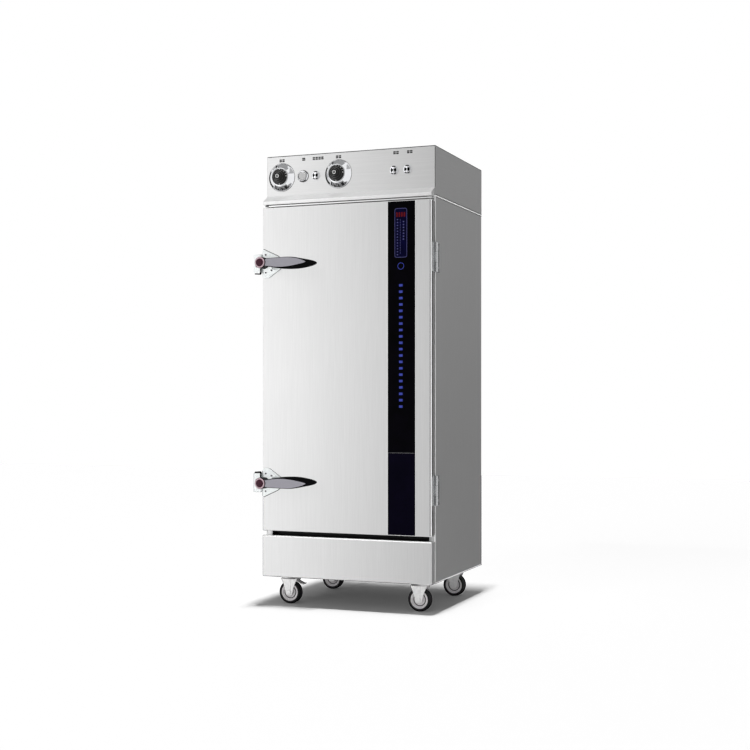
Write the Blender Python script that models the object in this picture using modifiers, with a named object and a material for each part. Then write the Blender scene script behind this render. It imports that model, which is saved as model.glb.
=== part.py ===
"""Rice steamer cabinet: an insulated steel cabinet on casters that steams racks of trays.

Metres, +Z up. The front faces -Y, the floor is at Z 0, and the origin is at the middle of
the footprint. Inside the script, pieces are placed in the cabinet's own frame, which starts
at the middle of the body's front face, and one empty carries them all to their places.
"""

import math

import bmesh
import bpy
from mathutils import Matrix, Vector

# Ways of making things
GAP = 0.0003
WELD = 0.00001
CUT_OVERRUN = 0.004
ROUND_SIDES = 16
BAR_SIDES = 12
PIN_SIDES = 8
BEND_STEPS = 3
CORNER_STEPS = 2
FOLD_STEPS = 2
FOLD_ANGLE = math.radians(30)
SMOOTH_ANGLE = math.radians(35)
FACING_SHARE = 0.9

# Cabinet body
WIDTH = 0.700
DEPTH = 0.600
SHEET = 0.001
FOLD_RADIUS = 0.003
SIDE_RETURN = 0.015
WALL = 0.038
BASE_FLANGE = 0.025

# Stack of the front, from the bottom up
STAND_OFF = 0.040
SKIRT_HEIGHT = 0.1583
DRIP_SLOT_HEIGHT = 0.0201
DOOR_HEIGHT = 1.263
LIP_GAP = 0.0078
LIP_DROP = 0.0099
LIP_HEIGHT = 0.0175
FLARE_RISE = 0.024
FASCIA_HEIGHT = 0.157
FASCIA_RETURN = 0.012

# Chamber and water tank
DOOR_LAP = 0.0413
APERTURE_FLANGE = 0.010
LINER_FLANGE = 0.013
TANK_DEPTH = 0.145
GUTTER_DEPTH = 0.030
GUTTER_INSET = 0.023
GUTTER_LAP = 0.0065
TANK_SETBACK = 0.006
BAFFLE_SHEET = 0.0015
BAFFLE_SIDE_ROOM = 0.012
BAFFLE_RISE = 0.010
BAFFLE_FRONT_ROOM = 0.010
BAFFLE_BACK_ROOM = 0.010
BAFFLE_SLOTS = 9
BAFFLE_SLOT_WIDTH = 0.008
BAFFLE_SLOT_END_SHARE = 0.17

# Tray racks
RACK_LEVELS = 12
RACK_PITCH = 0.095
RACK_FIRST_RISE = 0.038
RACK_STRIP = 0.0015
RACK_STRIP_WIDTH = 0.030
RACK_END_ROOM = 0.030
RUNNER_SHEET = 0.0015
RUNNER_WIDTH = 0.024
RUNNER_HEIGHT = 0.012
RUNNER_BITE = 0.0005

# Heater
HEATER_TUBE_RADIUS = 0.005
HEATER_RISE = 0.028
HEATER_LEG_SPACING = 0.080
HEATER_FRONT_ROOM = 0.060
HEATER_BACK_ROOM = 0.055
HEATER_TAIL = 0.012
HEATER_PLATE = 0.003
HEATER_PLATE_HEIGHT = 0.040
HEATER_PLATE_MARGIN = 0.020
HEATER_LEGS = 4

# Float valve
FLOAT_SIDE_ROOM = 0.065
FLOAT_RISE = 0.100
FLOAT_BODY_RADIUS = 0.013
FLOAT_BODY_LENGTH = 0.026
FLOAT_NECK_RADIUS = 0.0085
FLOAT_NUT_RADIUS = 0.015
FLOAT_NUT_LENGTH = 0.008
FLOAT_TAIL_RADIUS = 0.0105
FLOAT_TAIL_LENGTH = 0.020
FLOAT_INLET_RADIUS = 0.007
FLOAT_EAR_LENGTH = 0.024
FLOAT_EAR_HEIGHT = 0.014
FLOAT_EAR_THICKNESS = 0.003
FLOAT_EYE_WIDTH = 0.012
FLOAT_EYE_RADIUS = 0.006
FLOAT_PIN_RADIUS = 0.002
FLOAT_EYE_SETBACK = 0.008
FLOAT_ARM_LENGTH = 0.145
FLOAT_ROD_RADIUS = 0.0025
FLOAT_BALL_RADIUS = 0.025
FLOAT_FLOOR_ROOM = 0.004
FLOAT_BALL_SIDES = 10
FLOAT_BALL_RINGS = 6

# Drain valve
DRAIN_SIDE_ROOM = 0.100
DRAIN_PIPE_RADIUS = 0.011
DRAIN_BORE_RADIUS = 0.009
DRAIN_BORE_LENGTH = 0.020
DRAIN_COLLAR_RADIUS = 0.018
DRAIN_COLLAR_HEIGHT = 0.004
DRAIN_BACK_ROOM = 0.062
DRAIN_RISE = 0.040
DRAIN_BEND_RADIUS = 0.020
DRAIN_NUT_RADIUS = 0.016
DRAIN_NUT_LENGTH = 0.010
DRAIN_WAIST_RADIUS = 0.013
DRAIN_BALL_RADIUS = 0.018
DRAIN_BALL_LENGTH = 0.044
DRAIN_BOSS_RADIUS = 0.008
DRAIN_BOSS_HEIGHT = 0.005
DRAIN_STEM_RADIUS = 0.0035
DRAIN_STEM_NUT_RADIUS = 0.006
DRAIN_STEM_NUT_HEIGHT = 0.004
DRAIN_LEVER_LENGTH = 0.085
DRAIN_LEVER_WIDTH = 0.014
DRAIN_LEVER_THICKNESS = 0.003

# Vent and cable gland
VENT_RADIUS = 0.016
VENT_WALL = 0.0015
VENT_DROP = 0.060
VENT_REACH = 0.035
VENT_LIP = 0.0015
VENT_FLANGE_RADIUS = 0.026
VENT_FLANGE_THICKNESS = 0.0015
GLAND_INSET = 0.110
GLAND_RISE = 0.060
GLAND_THREAD_RADIUS = 0.010
GLAND_NUT_RADIUS = 0.014
GLAND_NUT_LENGTH = 0.010
GLAND_LOCKNUT_LENGTH = 0.005
GLAND_DOME_RADIUS = 0.012
GLAND_MOUTH_RADIUS = 0.008
GLAND_DOME_LENGTH = 0.018
GLAND_BORE_RADIUS = 0.005
GLAND_SHOULDER_SHARE = 0.35

# Controls on the fascia
CONTROL_RISE = 0.073
TIMER_INSET = 0.065
BUTTON_INSET = 0.1555
LAMP_HEAT_INSET = 0.210
THERMOSTAT_INSET = 0.306
LAMP_WORK_INSET = 0.165
LAMP_POWER_INSET = 0.1105
BEZEL_RADIUS = 0.055
BEZEL_TOP_RADIUS = 0.0345
BEZEL_HEIGHT = 0.021
BEZEL_SHEET = 0.0015
BEZEL_RIM = 0.002
BEZEL_NECK_RADIUS = 0.010
DIAL_CASE_RADIUS = 0.026
DIAL_CASE_LENGTH = 0.030
SPINDLE_RADIUS = 0.003
SPINDLE_LENGTH = 0.028
KNOB_RADIUS = 0.0325
KNOB_SKIRT = 0.004
KNOB_HEIGHT = 0.024
KNOB_STEPS = 3
KNOB_NOSE_RADIUS = 0.013
KNOB_CAP_RADIUS = 0.007
KNOB_CAP_RISE = 0.0015
KNOB_SIDES = 20
COLLAR_RADIUS = 0.0225
COLLAR_TOP_RADIUS = 0.0195
COLLAR_HEIGHT = 0.006
COLLAR_EDGE = 0.003
COLLAR_BARREL_RADIUS = 0.0185
COLLAR_BARREL_LENGTH = 0.025
COLLAR_FLOOR = 0.003
BUTTON_RADIUS = 0.0155
BUTTON_PROUD = 0.003
BUTTON_TRAVEL = 0.004
BUTTON_EDGE = 0.001
LAMP_RADIUS = 0.017
LAMP_FLANGE = 0.004
LAMP_DOME_RADIUS = 0.012
LAMP_DOME_HEIGHT = 0.008
LAMP_BARREL_RADIUS = 0.0105
LAMP_BARREL_LENGTH = 0.025
LAMP_DOME_STEPS = 2

# Door
DOOR_THICKNESS = 0.034
DOOR_FOLD_RADIUS = 0.004
PAN_FLANGE = 0.015
GASKET_INSET = 0.003
GASKET_WIDTH = 0.017
GASKET_EDGE = 0.0015
STRIP_WIDTH = 0.109
STRIP_EDGE_ROOM = 0.0655
STRIP_END_ROOM = 0.003
STRIP_THICKNESS = 0.001
SKIRT_FOLD_RADIUS = 0.003

# Hinges
HINGE_HEIGHT = 0.111
HINGE_TOP_DROP = 0.2147
HINGE_BOTTOM_RISE = 0.1703
HINGE_BARREL_RADIUS = 0.006
HINGE_PIN_RADIUS = 0.0032
HINGE_LEAF = 0.002
HINGE_LEAF_REACH = 0.042
HINGE_LEAF_EDGE_ROOM = 0.003
HINGE_BARREL_ROOM = 0.0005
HINGE_MIDDLE_SHARE = 0.36

# Latches
LATCH_TOP_DROP = 0.2177
LATCH_BOTTOM_RISE = 0.1873
LATCH_PIVOT_INSET = 0.012
LATCH_PLATE_WIDTH = 0.083
LATCH_PLATE_HEIGHT = 0.115
LATCH_PLATE_THICKNESS = 0.002
LATCH_PLATE_CORNER = 0.008
LATCH_PLATE_SHARES = [(0, -0.50), (0.34, -0.50), (1, -0.17), (1, 0.06), (0.85, 0.22), (0, 0.50)]
LATCH_HUB_RADIUS = 0.0115
LATCH_HUB_HEIGHT = 0.0074
LATCH_POST_RADIUS = 0.006
LATCH_POST_BITE = 0.030
STOP_PIN_RADIUS = 0.005
STOP_PIN_DISTANCE = 0.041
BOSS_RADIUS = 0.0225
BOSS_CROWN_RADIUS = 0.0185
BOSS_HEIGHT = 0.042
BOSS_SIDES = 20
HANDLE_LENGTH = 0.231
HANDLE_WIDTH = 0.048
HANDLE_THICKNESS = 0.016
HANDLE_BACK_ROOM = 0.020
HANDLE_EDGE = 0.003
HANDLE_SHARES = [
    (0.00, 0.30), (0.15, 0.35), (0.32, 0.375), (0.51, 0.405), (0.65, 0.31), (0.78, 0.18),
    (0.90, 0.00), (0.97, -0.10), (1.00, -0.22), (0.98, -0.33), (0.91, -0.42),
    (0.73, -0.57), (0.56, -0.605), (0.40, -0.56), (0.26, -0.46), (0.15, -0.34), (0.00, -0.30),
]
TONGUE_REACH = 0.036
TONGUE_HEIGHT = 0.030
TONGUE_THICKNESS = 0.0045
KEEPER_REACH = 0.0335
KEEPER_HEIGHT = 0.072
KEEPER_SHEET = 0.002
KEEPER_LEG = 0.050
KEEPER_FOLD_RADIUS = 0.004

# Casters
KINGPIN_INSET = 0.0635
CASTER_FRONT_Y = 0.055
CASTER_REAR_INSET = 0.120
CASTER_TRAIL = 0.015
WHEEL_RADIUS = 0.045
WHEEL_WIDTH = 0.032
WHEEL_SIDES = 20
TYRE_DEPTH = 0.010
TYRE_SHOULDER = 0.004
HUB_RIM = 0.004
HUB_RIM_WIDTH = 0.027
HUB_WEB = 0.008
HUB_BOSS_RADIUS = 0.012
HUB_BOSS_WIDTH = 0.034
HUB_DISH = 0.003
AXLE_RADIUS = 0.005
AXLE_HEAD_RADIUS = 0.009
AXLE_HEAD_LENGTH = 0.003
FORK_SHEET = 0.0025
FORK_SIDE_ROOM = 0.002
FORK_TOP_WIDTH = 0.066
FORK_WAIST_WIDTH = 0.042
FORK_FOOT_RADIUS = 0.012
CROWN_ROOM = 0.0075
CROWN_SHEET = 0.003
RACE_RADIUS = 0.023
RACE_HEIGHT = 0.0115
KINGPIN_RADIUS = 0.006
KINGPIN_HEAD_RADIUS = 0.010
KINGPIN_HEAD_HEIGHT = 0.003
CASTER_PLATE = 0.003
CASTER_PLATE_LENGTH = 0.090
CASTER_PLATE_WIDTH = 0.070
PEDAL_PIVOT_X = 0.026
PEDAL_PIVOT_DROP = 0.0065
PEDAL_PIN_RADIUS = 0.002
PEDAL_BARREL_RADIUS = 0.0042
PEDAL_SHEET = 0.002
PEDAL_LENGTH = 0.034
PEDAL_DROP = 0.012
PEDAL_TREAD = 0.008

# Heights, worked out from the stack above
AXLE_Z = WHEEL_RADIUS * math.cos(math.pi / WHEEL_SIDES)
CROWN_Z = AXLE_Z + WHEEL_RADIUS + CROWN_ROOM
CASTER_TOP = CROWN_Z + CROWN_SHEET + RACE_HEIGHT + GAP + CASTER_PLATE
BODY_BOTTOM = CASTER_TOP + GAP
SKIRT_TOP = BODY_BOTTOM + SKIRT_HEIGHT
DOOR_BOTTOM = SKIRT_TOP + DRIP_SLOT_HEIGHT
DOOR_TOP = DOOR_BOTTOM + DOOR_HEIGHT
LIP_BOTTOM = DOOR_TOP + LIP_GAP
HOOD_BOTTOM = LIP_BOTTOM + LIP_DROP
LIP_TOP = LIP_BOTTOM + LIP_HEIGHT
FLARE_TOP = LIP_TOP + FLARE_RISE
TOP = FLARE_TOP + FASCIA_HEIGHT
CONTROL_Z = FLARE_TOP + CONTROL_RISE
CHAMBER_BOTTOM = DOOR_BOTTOM + DOOR_LAP
CHAMBER_TOP = DOOR_TOP - DOOR_LAP
TANK_FLOOR = CHAMBER_BOTTOM - TANK_DEPTH

# Depths and half widths, worked out from the sizes above
HALF = WIDTH / 2
LINER_HALF = HALF - WALL
LINER_BACK = DEPTH - WALL
LINER_FRONT = SHEET + GAP
TANK_FRONT = GUTTER_DEPTH + TANK_SETBACK
BODY_BACK = DEPTH - SHEET - GAP
INNER_BACK = BODY_BACK - SHEET - GAP
APERTURE_HALF = LINER_HALF - GAP - SHEET
APERTURE_BOTTOM = CHAMBER_BOTTOM + GAP + SHEET
APERTURE_TOP = CHAMBER_TOP - GAP - SHEET
FRAME_HALF = HALF - SIDE_RETURN - GAP
GUTTER_HALF = HALF - GUTTER_INSET
DOOR_FRONT = -STAND_OFF
DOOR_BACK = DOOR_FRONT + DOOR_THICKNESS
BAFFLE_HALF_WIDTH = LINER_HALF - BAFFLE_SIDE_ROOM
BAFFLE_TOP = CHAMBER_BOTTOM + BAFFLE_RISE
BAFFLE_FRONT = TANK_FRONT + BAFFLE_FRONT_ROOM
BAFFLE_BACK = LINER_BACK - BAFFLE_BACK_ROOM
FLOAT_X = BAFFLE_HALF_WIDTH - FLOAT_SIDE_ROOM
DRAIN_X = DRAIN_SIDE_ROOM - BAFFLE_HALF_WIDTH
GLAND_X = GLAND_INSET - HALF
TIMER_X = TIMER_INSET - HALF
BUTTON_X = BUTTON_INSET - HALF
LAMP_HEAT_X = LAMP_HEAT_INSET - HALF
THERMOSTAT_X = THERMOSTAT_INSET - HALF
LAMP_WORK_X = HALF - LAMP_WORK_INSET
LAMP_POWER_X = HALF - LAMP_POWER_INSET
KINGPIN_X = HALF - KINGPIN_INSET
CASTER_REAR_Y = DEPTH - CASTER_REAR_INSET
HINGE_X = HALF + GAP + HINGE_BARREL_RADIUS
HINGE_Y = DOOR_BACK / 2
LATCH_X = -HALF + LATCH_PIVOT_INSET
LATCH_LEVELS = {"top": DOOR_TOP - LATCH_TOP_DROP, "bottom": DOOR_BOTTOM + LATCH_BOTTOM_RISE}
LATCH_WAYS = {"top": 1, "bottom": -1}
HINGE_LEVELS = {"top": DOOR_TOP - HINGE_TOP_DROP, "bottom": DOOR_BOTTOM + HINGE_BOTTOM_RISE}
LATCH_FRONT = DOOR_FRONT - GAP - LATCH_PLATE_THICKNESS
BOSS_BACK = LATCH_FRONT - LATCH_HUB_HEIGHT - GAP
BOSS_FRONT = BOSS_BACK - BOSS_HEIGHT
DRAIN_REACH = 2 * DRAIN_NUT_LENGTH + DRAIN_BALL_LENGTH
HEATER_REACH = HEATER_LEG_SPACING * (HEATER_LEGS - 1) / 2

# The origin is at the middle of everything that reaches out of the body
LEFT_REACH = KEEPER_REACH + GAP
RIGHT_REACH = GAP + 2 * HINGE_BARREL_RADIUS
ORIGIN_X = (LEFT_REACH - RIGHT_REACH) / 2
ORIGIN_Y = -(DEPTH + GAP + DRAIN_REACH + BOSS_FRONT) / 2

# Turns that lay a piece's local +Z along another direction
TO_FRONT = (math.pi / 2, 0, 0)
TO_BACK = (-math.pi / 2, 0, 0)
TO_RIGHT = (0, math.pi / 2, 0)
UPRIGHT = (0, 0, 0)

PARTS_NAME = "rice_steamer_cabinet"
CUTTERS_NAME = "cutters"

# Finishes: sRGB colour, roughness, metallic
FINISHES = {
    "brushed_steel": ("#D2D3D4", 0.34, 1.0),
    "satin_steel": ("#BFC0C2", 0.42, 1.0),
    "chrome": ("#DADCDE", 0.10, 1.0),
    "black_plastic": ("#17171A", 0.38, 0.0),
    "black_enamel": ("#0B0B0D", 0.30, 0.0),
    "black_acrylic": ("#050409", 0.12, 0.0),
    "white_silicone": ("#D9D8D2", 0.60, 0.0),
    "grey_plastic": ("#B4B6B8", 0.40, 0.0),
    "rubber": ("#141415", 0.75, 0.0),
    "zinc": ("#B9BABD", 0.45, 1.0),
    "brass": ("#B9985A", 0.35, 1.0),
    "copper_float": ("#C98A5E", 0.38, 1.0),
    "heater_sheath": ("#6E6C69", 0.50, 1.0),
}


def linear(channel):
    """One sRGB channel, from 0 to 1, as linear light."""
    if channel <= 0.04045:
        return channel / 12.92
    return ((channel + 0.055) / 1.055) ** 2.4


def make_material(name, colour, roughness, metallic):
    material = bpy.data.materials.new(name)
    material.use_nodes = True
    shader = material.node_tree.nodes["Principled BSDF"]
    channels = [linear(int(colour[i : i + 2], 16) / 255) for i in (1, 3, 5)]
    shader.inputs["Base Color"].default_value = (*channels, 1)
    shader.inputs["Roughness"].default_value = roughness
    shader.inputs["Metallic"].default_value = metallic
    material.diffuse_color = (*channels, 1)
    return material


def new_collection(name):
    collection = bpy.data.collections.new(name)
    bpy.context.scene.collection.children.link(collection)
    return collection


for old in list(bpy.data.objects):
    bpy.data.objects.remove(old, do_unlink=True)
PARTS = new_collection(PARTS_NAME)
CUTTERS = new_collection(CUTTERS_NAME)
MATERIALS = {name: make_material(name, *values) for name, values in FINISHES.items()}


# Shapes


def add_object(name, data, finish):
    """A part if it has a finish, and otherwise a tool that cuts or joins one."""
    piece = bpy.data.objects.new(name, data)
    if finish:
        data.materials.append(MATERIALS[finish])
        PARTS.objects.link(piece)
    else:
        piece.hide_render = True
        piece.display_type = "WIRE"
        CUTTERS.objects.link(piece)
    return piece


def to_mesh(name, shape):
    mesh = bpy.data.meshes.new(name)
    shape.to_mesh(mesh)
    shape.free()
    return mesh


def block(name, x, y, z, finish=None):
    """A box between two values of X, of Y and of Z."""
    shape = bmesh.new()
    bmesh.ops.create_cube(shape, size=1)
    low, high = Vector((x[0], y[0], z[0])), Vector((x[1], y[1], z[1]))
    bmesh.ops.scale(shape, vec=high - low, verts=shape.verts)
    piece = add_object(name, to_mesh(name, shape), finish)
    piece.location = (low + high) / 2
    return piece


def rod(name, start, end, radius, sides, finish=None):
    """A solid cylinder from start to end, which lie along one axis."""
    start, end = Vector(start), Vector(end)
    shape = bmesh.new()
    bmesh.ops.create_cone(
        shape,
        cap_ends=True,
        segments=sides,
        radius1=radius,
        radius2=radius,
        depth=(end - start).length,
    )
    bmesh.ops.rotate(shape, matrix=Matrix.Rotation(math.pi / sides, 3, "Z"), verts=shape.verts)
    mesh = to_mesh(name, shape)
    mesh.shade_smooth()
    mesh.set_sharp_from_angle(angle=SMOOTH_ANGLE)
    piece = add_object(name, mesh, finish)
    piece.location = (start + end) / 2
    piece.rotation_euler = (end - start).to_track_quat("Z", "Y").to_euler()
    return piece


def turned(name, profile, place, turn, sides, finish=None):
    """A turned solid: the profile's (radius, height) points run down its outer side.

    A profile whose ends both lie on the axis is solid, and any other is a closed ring. An end
    on the axis at its neighbour's height is a flat cap, and any other is a point.
    """
    rings = [(radius, height) for radius, height in profile if radius > 0]
    angles = [math.pi * (2 * step + 1) / sides for step in range(sides)]
    points = [(r * math.cos(a), r * math.sin(a), h) for r, h in rings for a in angles]
    pairs = [(i, i + 1) for i in range(len(rings) - 1)]
    faces = []
    if profile[0][0] > 0:
        pairs.append((len(rings) - 1, 0))
    else:
        for ring, end in ((0, profile[0]), (len(rings) - 1, profile[-1])):
            rim = [ring * sides + step for step in range(sides)]
            if end[1] == rings[ring][1]:
                faces.append(rim)
            else:
                points.append((0, 0, end[1]))
                tip = len(points) - 1
                faces.extend((tip, rim[step - 1], rim[step]) for step in range(sides))
    for above, below in pairs:
        for step in range(sides):
            beside = (step + 1) % sides
            corners = (above * sides + step, above * sides + beside)
            faces.append((*corners, below * sides + beside, below * sides + step))
    mesh = bpy.data.meshes.new(name)
    mesh.from_pydata(points, [], faces)
    shape = bmesh.new()
    shape.from_mesh(mesh)
    bmesh.ops.recalc_face_normals(shape, faces=shape.faces)
    shape.to_mesh(mesh)
    shape.free()
    mesh.shade_smooth()
    mesh.set_sharp_from_angle(angle=SMOOTH_ANGLE)
    piece = add_object(name, mesh, finish)
    piece.location = place
    piece.rotation_euler = turn
    return piece


def plate(name, outline, thickness, place, turn, finish=None):
    """A flat outline, closed, with its thickness centred on its plane."""
    curve = bpy.data.curves.new(name, "CURVE")
    curve.dimensions = "2D"
    curve.fill_mode = "BOTH"
    curve.extrude = thickness / 2
    spline = curve.splines.new("POLY")
    spline.points.add(len(outline) - 1)
    for point, (u, v) in zip(spline.points, outline):
        point.co = (u, v, 0, 1)
    spline.use_cyclic_u = True
    piece = bpy.data.objects.new(name, curve)
    piece.location = place
    piece.rotation_euler = turn
    return as_mesh(piece, finish)


def tube(name, points, radius, sides, finish=None):
    """A round bar along a path of points, with filled ends."""
    curve = bpy.data.curves.new(name, "CURVE")
    curve.dimensions = "3D"
    curve.bevel_depth = radius
    curve.bevel_resolution = sides // 2 - 2
    curve.use_fill_caps = True
    spline = curve.splines.new("POLY")
    spline.points.add(len(points) - 1)
    for point, place in zip(spline.points, points):
        point.co = (*place, 1)
    return as_mesh(bpy.data.objects.new(name, curve), finish)


def as_mesh(curve_object, finish):
    """Replaces a curve object by a mesh object with its caps welded on."""
    PARTS.objects.link(curve_object)
    bpy.context.view_layer.update()
    name, matrix = curve_object.name, curve_object.matrix_world.copy()
    graph = bpy.context.evaluated_depsgraph_get()
    mesh = bpy.data.meshes.new_from_object(curve_object.evaluated_get(graph))
    bpy.data.objects.remove(curve_object, do_unlink=True)
    shape = bmesh.new()
    shape.from_mesh(mesh)
    bmesh.ops.remove_doubles(shape, verts=shape.verts, dist=WELD)
    bmesh.ops.recalc_face_normals(shape, faces=shape.faces)
    shape.to_mesh(mesh)
    shape.free()
    piece = add_object(name, mesh, finish)
    piece.matrix_world = matrix
    return piece


def sheet(name, section, plane, span, finish=None):
    """An open surface: a section's points in the plane "XY", "XZ" or "YZ", run along a span."""
    order = {"XY": (0, 1, 2), "XZ": (0, 2, 1), "YZ": (1, 2, 0)}[plane]
    points = []
    for along in span:
        for u, v in section:
            values = dict(zip(order, (u, v, along)))
            points.append((values[0], values[1], values[2]))
    count = len(section)
    faces = [(i, i + count, i + count + 1, i + 1) for i in range(count - 1)]
    mesh = bpy.data.meshes.new(name)
    mesh.from_pydata(points, [], faces)
    return add_object(name, mesh, finish)


def pan(name, x, y, z, open_sides, finish=None):
    """A box's surface without the faces that look along the open sides, such as "+Y"."""
    piece = block(name, x, y, z, finish)
    shape = bmesh.new()
    shape.from_mesh(piece.data)
    for side in open_sides:
        way = Vector([float(side[1] == letter) for letter in "XYZ"])
        way = way if side[0] == "+" else -way
        shape.normal_update()
        gone = [face for face in shape.faces if face.normal.dot(way) > FACING_SHARE]
        bmesh.ops.delete(shape, geom=gone, context="FACES_ONLY")
    shape.to_mesh(piece.data)
    shape.free()
    return piece


def round_folds(piece, radius, segments=FOLD_STEPS):
    bevel = piece.modifiers.new("folds", "BEVEL")
    bevel.width = radius
    bevel.segments = segments
    bevel.limit_method = "ANGLE"
    bevel.angle_limit = FOLD_ANGLE


def thicken(piece, thickness, side=-1):
    """Gives a surface its thickness, against its normals at side -1 and along them at 1."""
    solid = piece.modifiers.new("sheet", "SOLIDIFY")
    solid.thickness = thickness
    solid.offset = side
    solid.use_even_offset = True
    solid.use_quality_normals = True


def combine(piece, operation, tools):
    for tool in tools:
        boolean = piece.modifiers.new(tool.name, "BOOLEAN")
        boolean.operation = operation
        boolean.solver = "EXACT"
        boolean.object = tool


def cut(piece, *tools):
    combine(piece, "DIFFERENCE", tools)


def join(piece, *tools):
    combine(piece, "UNION", tools)


def clear_radius(radius, sides):
    """The corner radius of a round hole that clears a round bar by the gap on its flats."""
    return (radius + GAP) / math.cos(math.pi / sides)


def rounded(outline, radius, steps=CORNER_STEPS):
    """An outline with each corner replaced by an arc, smaller where its sides are short."""
    result = []
    count = len(outline)
    for i, corner in enumerate(outline):
        here = Vector(corner)
        back = Vector(outline[i - 1]) - here
        ahead = Vector(outline[(i + 1) % count]) - here
        half_angle = back.angle(ahead) / 2
        reach = min(radius / math.tan(half_angle), back.length / 2, ahead.length / 2)
        start, end = here + back.normalized() * reach, here + ahead.normalized() * reach
        for step in range(steps + 1):
            t = step / steps
            result.append(tuple(start * (1 - t) ** 2 + here * 2 * t * (1 - t) + end * t**2))
    return result


def hang(piece, carrier):
    """Parents a piece to the empty that carries it and leaves it where it is."""
    piece.parent = carrier
    piece.location = piece.location - carrier.location


def pivot(name, place):
    """An empty on a joint's axis."""
    empty = bpy.data.objects.new(name, None)
    empty.location = place
    PARTS.objects.link(empty)
    return empty


# Body


def make_body():
    base = pan(
        "base_pan",
        (-HALF + SHEET + GAP, HALF - SHEET - GAP),
        (LINER_FRONT, INNER_BACK),
        (BODY_BOTTOM, BODY_BOTTOM + BASE_FLANGE),
        ["+Z"],
        "satin_steel",
    )
    round_folds(base, FOLD_RADIUS, 1)
    thicken(base, SHEET)
    for name, side in (("side_panel_left", -1), ("side_panel_right", 1)):
        edge, inner = side * HALF, side * (HALF - SIDE_RETURN)
        section = [(inner, BODY_BACK), (edge, BODY_BACK), (edge, 0), (inner, 0)]
        panel = sheet(name, section, "XY", (BODY_BOTTOM, HOOD_BOTTOM - GAP), "brushed_steel")
        round_folds(panel, FOLD_RADIUS)
        thicken(panel, SHEET, -side)
    back = block(
        "back_panel",
        (-HALF + SHEET, HALF - SHEET),
        (DEPTH - SHEET, DEPTH),
        (BODY_BOTTOM, HOOD_BOTTOM - GAP),
        "brushed_steel",
    )
    cut(back, *back_holes())
    frame = block(
        "face_frame",
        (-FRAME_HALF, FRAME_HALF),
        (0, SHEET),
        (BODY_BOTTOM, HOOD_BOTTOM - GAP),
        "brushed_steel",
    )
    flange = block(
        "frame_flange",
        (-APERTURE_HALF - SHEET, APERTURE_HALF + SHEET),
        (SHEET / 2, APERTURE_FLANGE),
        (APERTURE_BOTTOM - SHEET, APERTURE_TOP + SHEET),
    )
    aperture = block(
        "frame_aperture",
        (-APERTURE_HALF, APERTURE_HALF),
        (-CUT_OVERRUN, APERTURE_FLANGE + CUT_OVERRUN),
        (APERTURE_BOTTOM, APERTURE_TOP),
    )
    slot = block(
        "frame_slot",
        (-GUTTER_HALF, GUTTER_HALF),
        (-CUT_OVERRUN, SHEET + CUT_OVERRUN),
        (SKIRT_TOP - GUTTER_LAP, DOOR_BOTTOM + GUTTER_LAP),
    )
    join(frame, flange)
    cut(frame, aperture, slot)
    gutter = pan(
        "drip_gutter",
        (-GUTTER_HALF + GAP, GUTTER_HALF - GAP),
        (0, GUTTER_DEPTH),
        (SKIRT_TOP - GUTTER_LAP + GAP, DOOR_BOTTOM + GUTTER_LAP - GAP),
        ["-Y"],
        "black_enamel",
    )
    thicken(gutter, SHEET)
    skirt = pan(
        "skirt_panel",
        (-HALF, HALF),
        (DOOR_FRONT, -GAP),
        (BODY_BOTTOM, SKIRT_TOP),
        ["+Y"],
        "brushed_steel",
    )
    round_folds(skirt, SKIRT_FOLD_RADIUS)
    thicken(skirt, SHEET)


def back_holes():
    """The holes that the rear fittings pass through in the back panel."""
    fittings = {
        "drain": (DRAIN_X, BODY_BOTTOM + DRAIN_RISE, DRAIN_PIPE_RADIUS),
        "float": (FLOAT_X, TANK_FLOOR + FLOAT_RISE, FLOAT_NECK_RADIUS),
        "vent": (0, CHAMBER_TOP - VENT_DROP, VENT_RADIUS),
    }
    ends = (DEPTH - SHEET - CUT_OVERRUN / 2, DEPTH + CUT_OVERRUN)
    return [
        rod(
            "back_hole_" + name,
            (x, ends[0], z),
            (x, ends[1], z),
            clear_radius(radius, BAR_SIDES),
            BAR_SIDES,
        )
        for name, (x, z, radius) in fittings.items()
    ]


# Chamber, water tank and racks


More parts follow.
